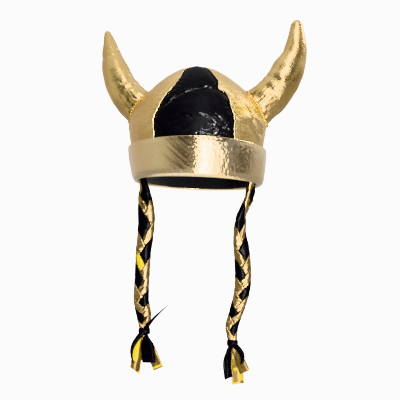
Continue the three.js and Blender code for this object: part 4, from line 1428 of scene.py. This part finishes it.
def end_finish(plait, name, share):
    """The finish of a gold strip's quads: 0 is bright, 1 shows the cloth's yellow reverse, at the back of
    the end and at places in front, and 2 is the end's rougher gold, with shade painted in darker still."""
    wide, deep = strip_oval.T
    finish = np.zeros((len(share) - 1, STRIP_AROUND), int)
    front = deep < 0
    loose = share[1:, None] > END_START
    finish[loose & front] = 2
    finish[loose & ~front] = 1
    for start, end, left, right in plait["ends"][name]["reverse"]:
        row = (share[1:, None] >= start) & (share[1:, None] <= end)
        finish[row & front & (wide >= left) & (wide <= right)] = 1
    return finish


def plait_strip(side_name, plait, name):
    """One strip from under the rim to its loose end."""
    drop = strip_drops(plait, name)
    rings, own = strip_rings(plait, name, drop)
    middle = np.concatenate([own["centre"], -drop[:, None]], axis=1)
    black = name == "black"
    shape = Shape()
    shape.loft(crumpled(rings, middle), finish=0 if black else end_finish(plait, name, own["share"]))
    for face, finish in strip_faces(plait, name):
        shape.loft(face, finish=finish)
    materials = (black_strip,) if black else (gold_strip, yellow_reverse, gold_end)
    obj = shape.build(f"plait_{side_name}_{name}_cloth", *materials)
    dress(obj, f"plait_{side_name}_{name}", "black_wet_look" if black else "gold_lame")
    return obj, middle


# Ties

TIE_CLEARANCE = 0.75
TIE_WALL = 1.6
TIE_AROUND = 72
KNOT_HALF_WIDTH = 4.4
KNOT_HALF_HEIGHT = 3.6
TAIL_STEPS = 48
TAIL_HALF_THICKNESS = 0.8
TIE_SECTION_AROUND = 40
TIE_GROOVES = 3
TIE_GROOVE_DEPTH = 0.22
TIE_OUTSIDE = 0.3  # share through the band at which its outer face begins
KNOT_RINGS = 25
KNOT_AROUND = 36
KNOT_FOLD = 0.14
KNOT_FOLD_WAY = (5, 0, 3)  # across and up, in radians to half the knot
KNOT_WRINKLE = 0.08
KNOT_WRINKLES = 2.2  # to half the knot
TAIL_AROUND = 16
TAIL_CUP = 0.09  # how far the edges turn back, by the square of the width
TAIL_LAYERS = [(wrinkles, 6, 0.35)]
BACKWARDS = np.array([0, 1.0, 0])
TIE_SECTION = table(
    "through up",
    (0, 1), (0.7, 0.9), (1, 0), (0.7, -0.9), (0, -1), (0, 0),
)


def tie_band(middle, height, half_width, half_depth):
    """The band wound round a plait's neck, with the grooves between its turns."""
    through, up = smooth_curve(points(TIE_SECTION, "through up"), TIE_SECTION_AROUND, closed=True).T
    angle = full_turn(TIE_AROUND)[:, None]
    wound = 1 + TIE_GROOVE_DEPTH * np.cos(TIE_GROOVES * np.pi * up + angle) * (through > TIE_OUTSIDE)
    x = middle[0] + (half_width + through * wound * TIE_WALL) * np.cos(angle)
    y = middle[1] + (half_depth + through * wound * TIE_WALL) * np.sin(angle)
    return np.stack([x, y, height + np.broadcast_to(up, x.shape) * TIE_HALF_HEIGHT], axis=-1)


def knot_bead(knot):
    """The knot: a flat bead with a fold across it."""
    rise = np.linspace(-np.pi / 2, np.pi / 2, KNOT_RINGS)[:, None]
    turn = full_turn(KNOT_AROUND)
    level = np.cos(rise)
    ball = np.stack([level * np.cos(turn), level * np.sin(turn), np.sin(rise) + 0 * turn], axis=-1)
    fold = 1 + KNOT_FOLD * np.cos(ball @ KNOT_FOLD_WAY) + KNOT_WRINKLE * wrinkles(ball * KNOT_WRINKLES)
    return knot + ball * fold[..., None] * (KNOT_HALF_WIDTH, TIE_WALL, KNOT_HALF_HEIGHT)


def tie_tail(knot, side, tail):
    """A flat tail that tapers and turns a little on its way from the knot."""
    share = np.linspace(0, 1, TAIL_STEPS + 1)
    along = np.array([side * tail["out"], 0, tail["rise"]], float)
    along /= np.linalg.norm(along)
    across = np.cross(along, BACKWARDS)
    centre = np.stack([
        knot[0] + side * (tail["out"] * share + tail["bow"] * np.sin(np.pi * share)),
        knot[1] - tail["forward"] * np.sin(np.pi / 2 * share),
        knot[2] + tail["rise"] * share,
    ], axis=1)
    angle = 2 * np.pi * (np.arange(TAIL_AROUND) + 0.5) / TAIL_AROUND
    wide = tail["half_width"] * (1 - tail["taper"] * share)[:, None] * np.cos(angle)
    deep = TAIL_HALF_THICKNESS * np.sin(angle) + TAIL_CUP * wide**2
    ring = centre[:, None] + wide[..., None] * across + deep[..., None] * BACKWARDS
    return ring + uneven(ring, TAIL_LAYERS)[..., None] * BACKWARDS


def plait_tie(side_name, plait):
    drop = tie_drop(plait)
    middle = plait_middle(plait, np.array(drop))
    (neck,) = on_route(plait, "half_width", np.array(drop - TIE_HALF_HEIGHT))
    half_width = neck + TIE_CLEARANCE
    half_depth = neck * FACE_DEPTH + TIE_CLEARANCE
    knot = np.array([middle[0], middle[1] - half_depth - TIE_WALL, -drop])
    shape = Shape()
    shape.loft(tie_band(middle, -drop, half_width, half_depth), closed=True)
    shape.loft(knot_bead(knot))
    for tail in plait["tails"]:
        shape.loft(tie_tail(knot, plait["side"], tail))
    return dress(shape.build(f"tie_{side_name}_cloth", black_strip), f"tie_{side_name}", "black_wet_look")


# Camera

CAMERA_DISTANCE = 1.4
CAMERA_AZIMUTH = 4  # degrees to the right of the front
CAMERA_ELEVATION = -5
CAMERA_SHIFT = (0.004, -0.0256)  # from the origin to the middle of the picture, across and up
SENSOR = 36
FOCAL_LENGTH = 78.75


def direction(azimuth, elevation):
    """The way out from the hat, by degrees to the right of its front and degrees up."""
    a, e = math.radians(azimuth), math.radians(elevation)
    return Vector((math.sin(a) * math.cos(e), -math.cos(a) * math.cos(e), math.sin(e)))


def make_camera():
    back = direction(CAMERA_AZIMUTH, CAMERA_ELEVATION)
    a = math.radians(CAMERA_AZIMUTH)
    right = Vector((math.cos(a), math.sin(a), 0))
    up = back.cross(right)
    data = bpy.data.cameras.new("camera")
    data.sensor_width, data.lens = SENSOR, FOCAL_LENGTH
    camera = new_object("camera", data)
    place = CAMERA_SHIFT[0] * right + CAMERA_SHIFT[1] * up + CAMERA_DISTANCE * back
    camera.matrix_world = Matrix.Translation(place) @ Matrix((right, up, back)).transposed().to_4x4()
    bpy.context.scene.camera = camera


# Light and floor

FLOOR_HEIGHT = -0.7
FLOOR_RADIUS = 0.9
FLOOR_SIDES = 96
FLOOR_GREY = (0.86, 0.86, 0.86, 1)
FLOOR_PALE = (0.9, 0.9, 0.9, 1)
BACKDROP = (2.2, 2.2, 2.2, 1)  # as the camera sees it: white
ROOM_ROUND = [  # the room's colours above the horizon, by degrees to the right of the front
    (-180, 0.74, 0.74, 0.74), (-112, 0.63, 0.55, 0.53), (-92, 0.66, 0.65, 0.6), (-62, 0.76, 0.77, 0.68),
    (-46, 0.22, 0.22, 0.22), (-20, 0.1, 0.1, 0.11), (35, 0.1, 0.1, 0.11), (54, 0.16, 0.16, 0.17),
    (74, 0.54, 0.52, 0.5), (100, 0.76, 0.76, 0.74), (180, 0.74, 0.74, 0.74),
]
ROOM_LOW = [  # the same at the horizon, which the upright cuff mirrors
    (-180, 0.74, 0.74, 0.74), (-112, 0.63, 0.55, 0.53), (-92, 0.63, 0.6, 0.52), (-66, 0.65, 0.64, 0.54),
    (-52, 0.66, 0.65, 0.54), (-37, 0.34, 0.31, 0.26), (-24, 0.13, 0.11, 0.1), (30, 0.13, 0.12, 0.12),
    (52, 0.34, 0.33, 0.37), (68, 0.3, 0.29, 0.33), (80, 0.1, 0.092, 0.1), (92, 0.05, 0.045, 0.05),
    (100, 0.18, 0.165, 0.175), (110, 0.4, 0.38, 0.37), (121, 0.57, 0.54, 0.53), (134, 0.5, 0.47, 0.46),
    (180, 0.74, 0.74, 0.74),
]
ROOM_ABOVE = (0.98, 0.98, 0.98, 1)
ROOM_BELOW = (0.44, 0.43, 0.42, 1)
LOW_FROM = (0.1, 0.01)  # upward parts of a direction over which one part of the room turns into the next
ABOVE_FROM = (0.58, 0.95)
BELOW_FROM = (-0.05, -0.22)
LAMP_AIM = Vector((0, 0, 0.1))
LAMPS = [  # azimuth to the right of the front, elevation, distance, width, height, watts
    ("low_lamp", 17.5, -20, 1.5, 0.28, 1.1, 32),
    ("side_lamp", 37, -18, 1.5, 0.42, 1.0, 4.5),
    ("upper_lamp", 16, 38, 1.5, 0.4, 1.6, 16),
    ("glow_lamp", 116, 36, 1.5, 0.3, 0.3, 8),
]


def room_colours(nodes, turn, colours):
    """The room's colours round the hat, by a share of a whole turn from the back."""
    ramp = nodes.add("ValToRGB", {"Fac": turn})
    stops = ramp.color_ramp.elements
    while len(stops) < len(colours):
        stops.new(0.5)
    for stop, (degrees, *colour) in zip(stops, colours):
        stop.position = (degrees + 180) / 360
        stop.color = (*colour, 1)
    return ramp.outputs["Color"]


def make_room():
    """A pale studio for the foil to mirror: bright at the sides and behind, dim in front."""
    world = bpy.data.worlds.new("studio")
    world.use_nodes = True
    bpy.context.scene.world = world
    nodes = Nodes(world.node_tree)
    way = nodes.add("SeparateXYZ", {"Vector": nodes.add("TexCoord").outputs["Generated"]})
    x, y, z = (way.outputs[axis] for axis in "XYZ")
    front = nodes.add("Math", {0: y, 1: -1.0}, operation="MULTIPLY").outputs[0]
    azimuth = nodes.add("Math", {0: x, 1: front}, operation="ARCTAN2").outputs[0]
    turn = nodes.spread(azimuth, -math.pi, math.pi, 0, 1)
    room = room_colours(nodes, turn, ROOM_ROUND)
    low = room_colours(nodes, turn, ROOM_LOW)
    for heights, part in ((ABOVE_FROM, ROOM_ABOVE), (LOW_FROM, low), (BELOW_FROM, ROOM_BELOW)):
        room = nodes.blend(nodes.spread(z, *heights, 0, 1), room, part)
    seen = nodes.add("LightPath").outputs["Is Camera Ray"]
    shown = nodes.blend(seen, room, BACKDROP)
    wire(nodes, world.node_tree.nodes["Background"], Color=shown)


def make_lamps():
    for name, azimuth, elevation, distance, width, height, watts in LAMPS:
        back = direction(azimuth, elevation)
        data = bpy.data.lights.new(name, "AREA")
        data.shape, data.size, data.size_y, data.energy = "RECTANGLE", width, height, watts
        lamp = new_object(name, data)
        lamp.location = back * distance + LAMP_AIM
        lamp.visible_camera = False
        lamp.rotation_euler = back.to_track_quat("Z", "Y").to_euler()


def make_floor():
    mesh = bpy.data.meshes.new("floor")
    turn = full_turn(FLOOR_SIDES)
    x, y = np.cos(turn) * FLOOR_RADIUS, np.sin(turn) * FLOOR_RADIUS
    rim = np.stack([x, y, np.full_like(turn, FLOOR_HEIGHT)], axis=1)
    mesh.from_pydata(rim.tolist(), [], [list(range(len(rim)))])
    material, nodes, shader = new_material("pale_floor")
    shade = nodes.blend(nodes.noise(nodes.place(), 8, detail=3), FLOOR_GREY, FLOOR_PALE)
    shader.inputs["Roughness"].default_value = 0.7
    wire(nodes, shader, Base_Color=shade)
    mesh.materials.append(material)
    floor = new_object("floor", mesh)
    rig.stage(floor)


# The helmet

CLOTHS = {
    "gold": {"slot": "gold_lame", "materials": (gold_crown, gold_roll)},
    "black": {"slot": "black_wet_look", "materials": (black_smooth, black_creased)},
}
SHEET_SIZES = {  # each gore's flat size and area before sewing, in metres and square metres
    "gold": {"flat": (0.215, 0.235), "area": 0.034},
    "black": {"flat": (0.145, 0.235), "area": 0.021},
}
LINING_SIZE = {"flat": (0.62, 0.235), "area": 0.105}


def make_plaits():
    for side_name, plait in PLAITS.items():
        tie = plait_tie(side_name, plait)
        for name in STRIPS:
            strip, middle = plait_strip(side_name, plait, name)
            path = middle * MM
            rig.cord(
                strip, exit=path[0], length=arc_lengths(path)[-1], diameter=STRIP_DIAMETER,
                far_end="bare", stiffness="limp", lay="hanging", path=path[::4],
                with_pieces=[tie] if name == "black" else [],
            )


def make_hat():
    for name, spec in PANELS.items():
        cloth = CLOTHS[spec["cloth"]]
        panel = crown_panel(name + "_cloth", spec, *cloth["materials"])
        dress(panel, name, cloth["slot"])
        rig.sheet(panel, held="stretched", rests_on=["lining"], **SHEET_SIZES[spec["cloth"]])
    lining = dress(lining_shell(), "lining", "black_lining")
    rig.sheet(lining, held="stretched", rests_on=["cuff"], **LINING_SIZE)
    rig.padded(dress(cuff_band(), "cuff", "gold_lame"), fill=0.5)
    for name, horn in HORNS.items():
        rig.padded(dress(stuffed_horn(name, horn), name, "gold_lame"), fill=0.85)


bpy.context.scene.view_settings.view_transform = "Khronos PBR Neutral"
make_camera()
make_plaits()
make_hat()
make_room()
make_lamps()
make_floor()

with open("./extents.json", "w") as out:
    json.dump({"cad": [list(corner) for corner in cad_box], "visual": [list(corner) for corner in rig.bounds()]}, out)
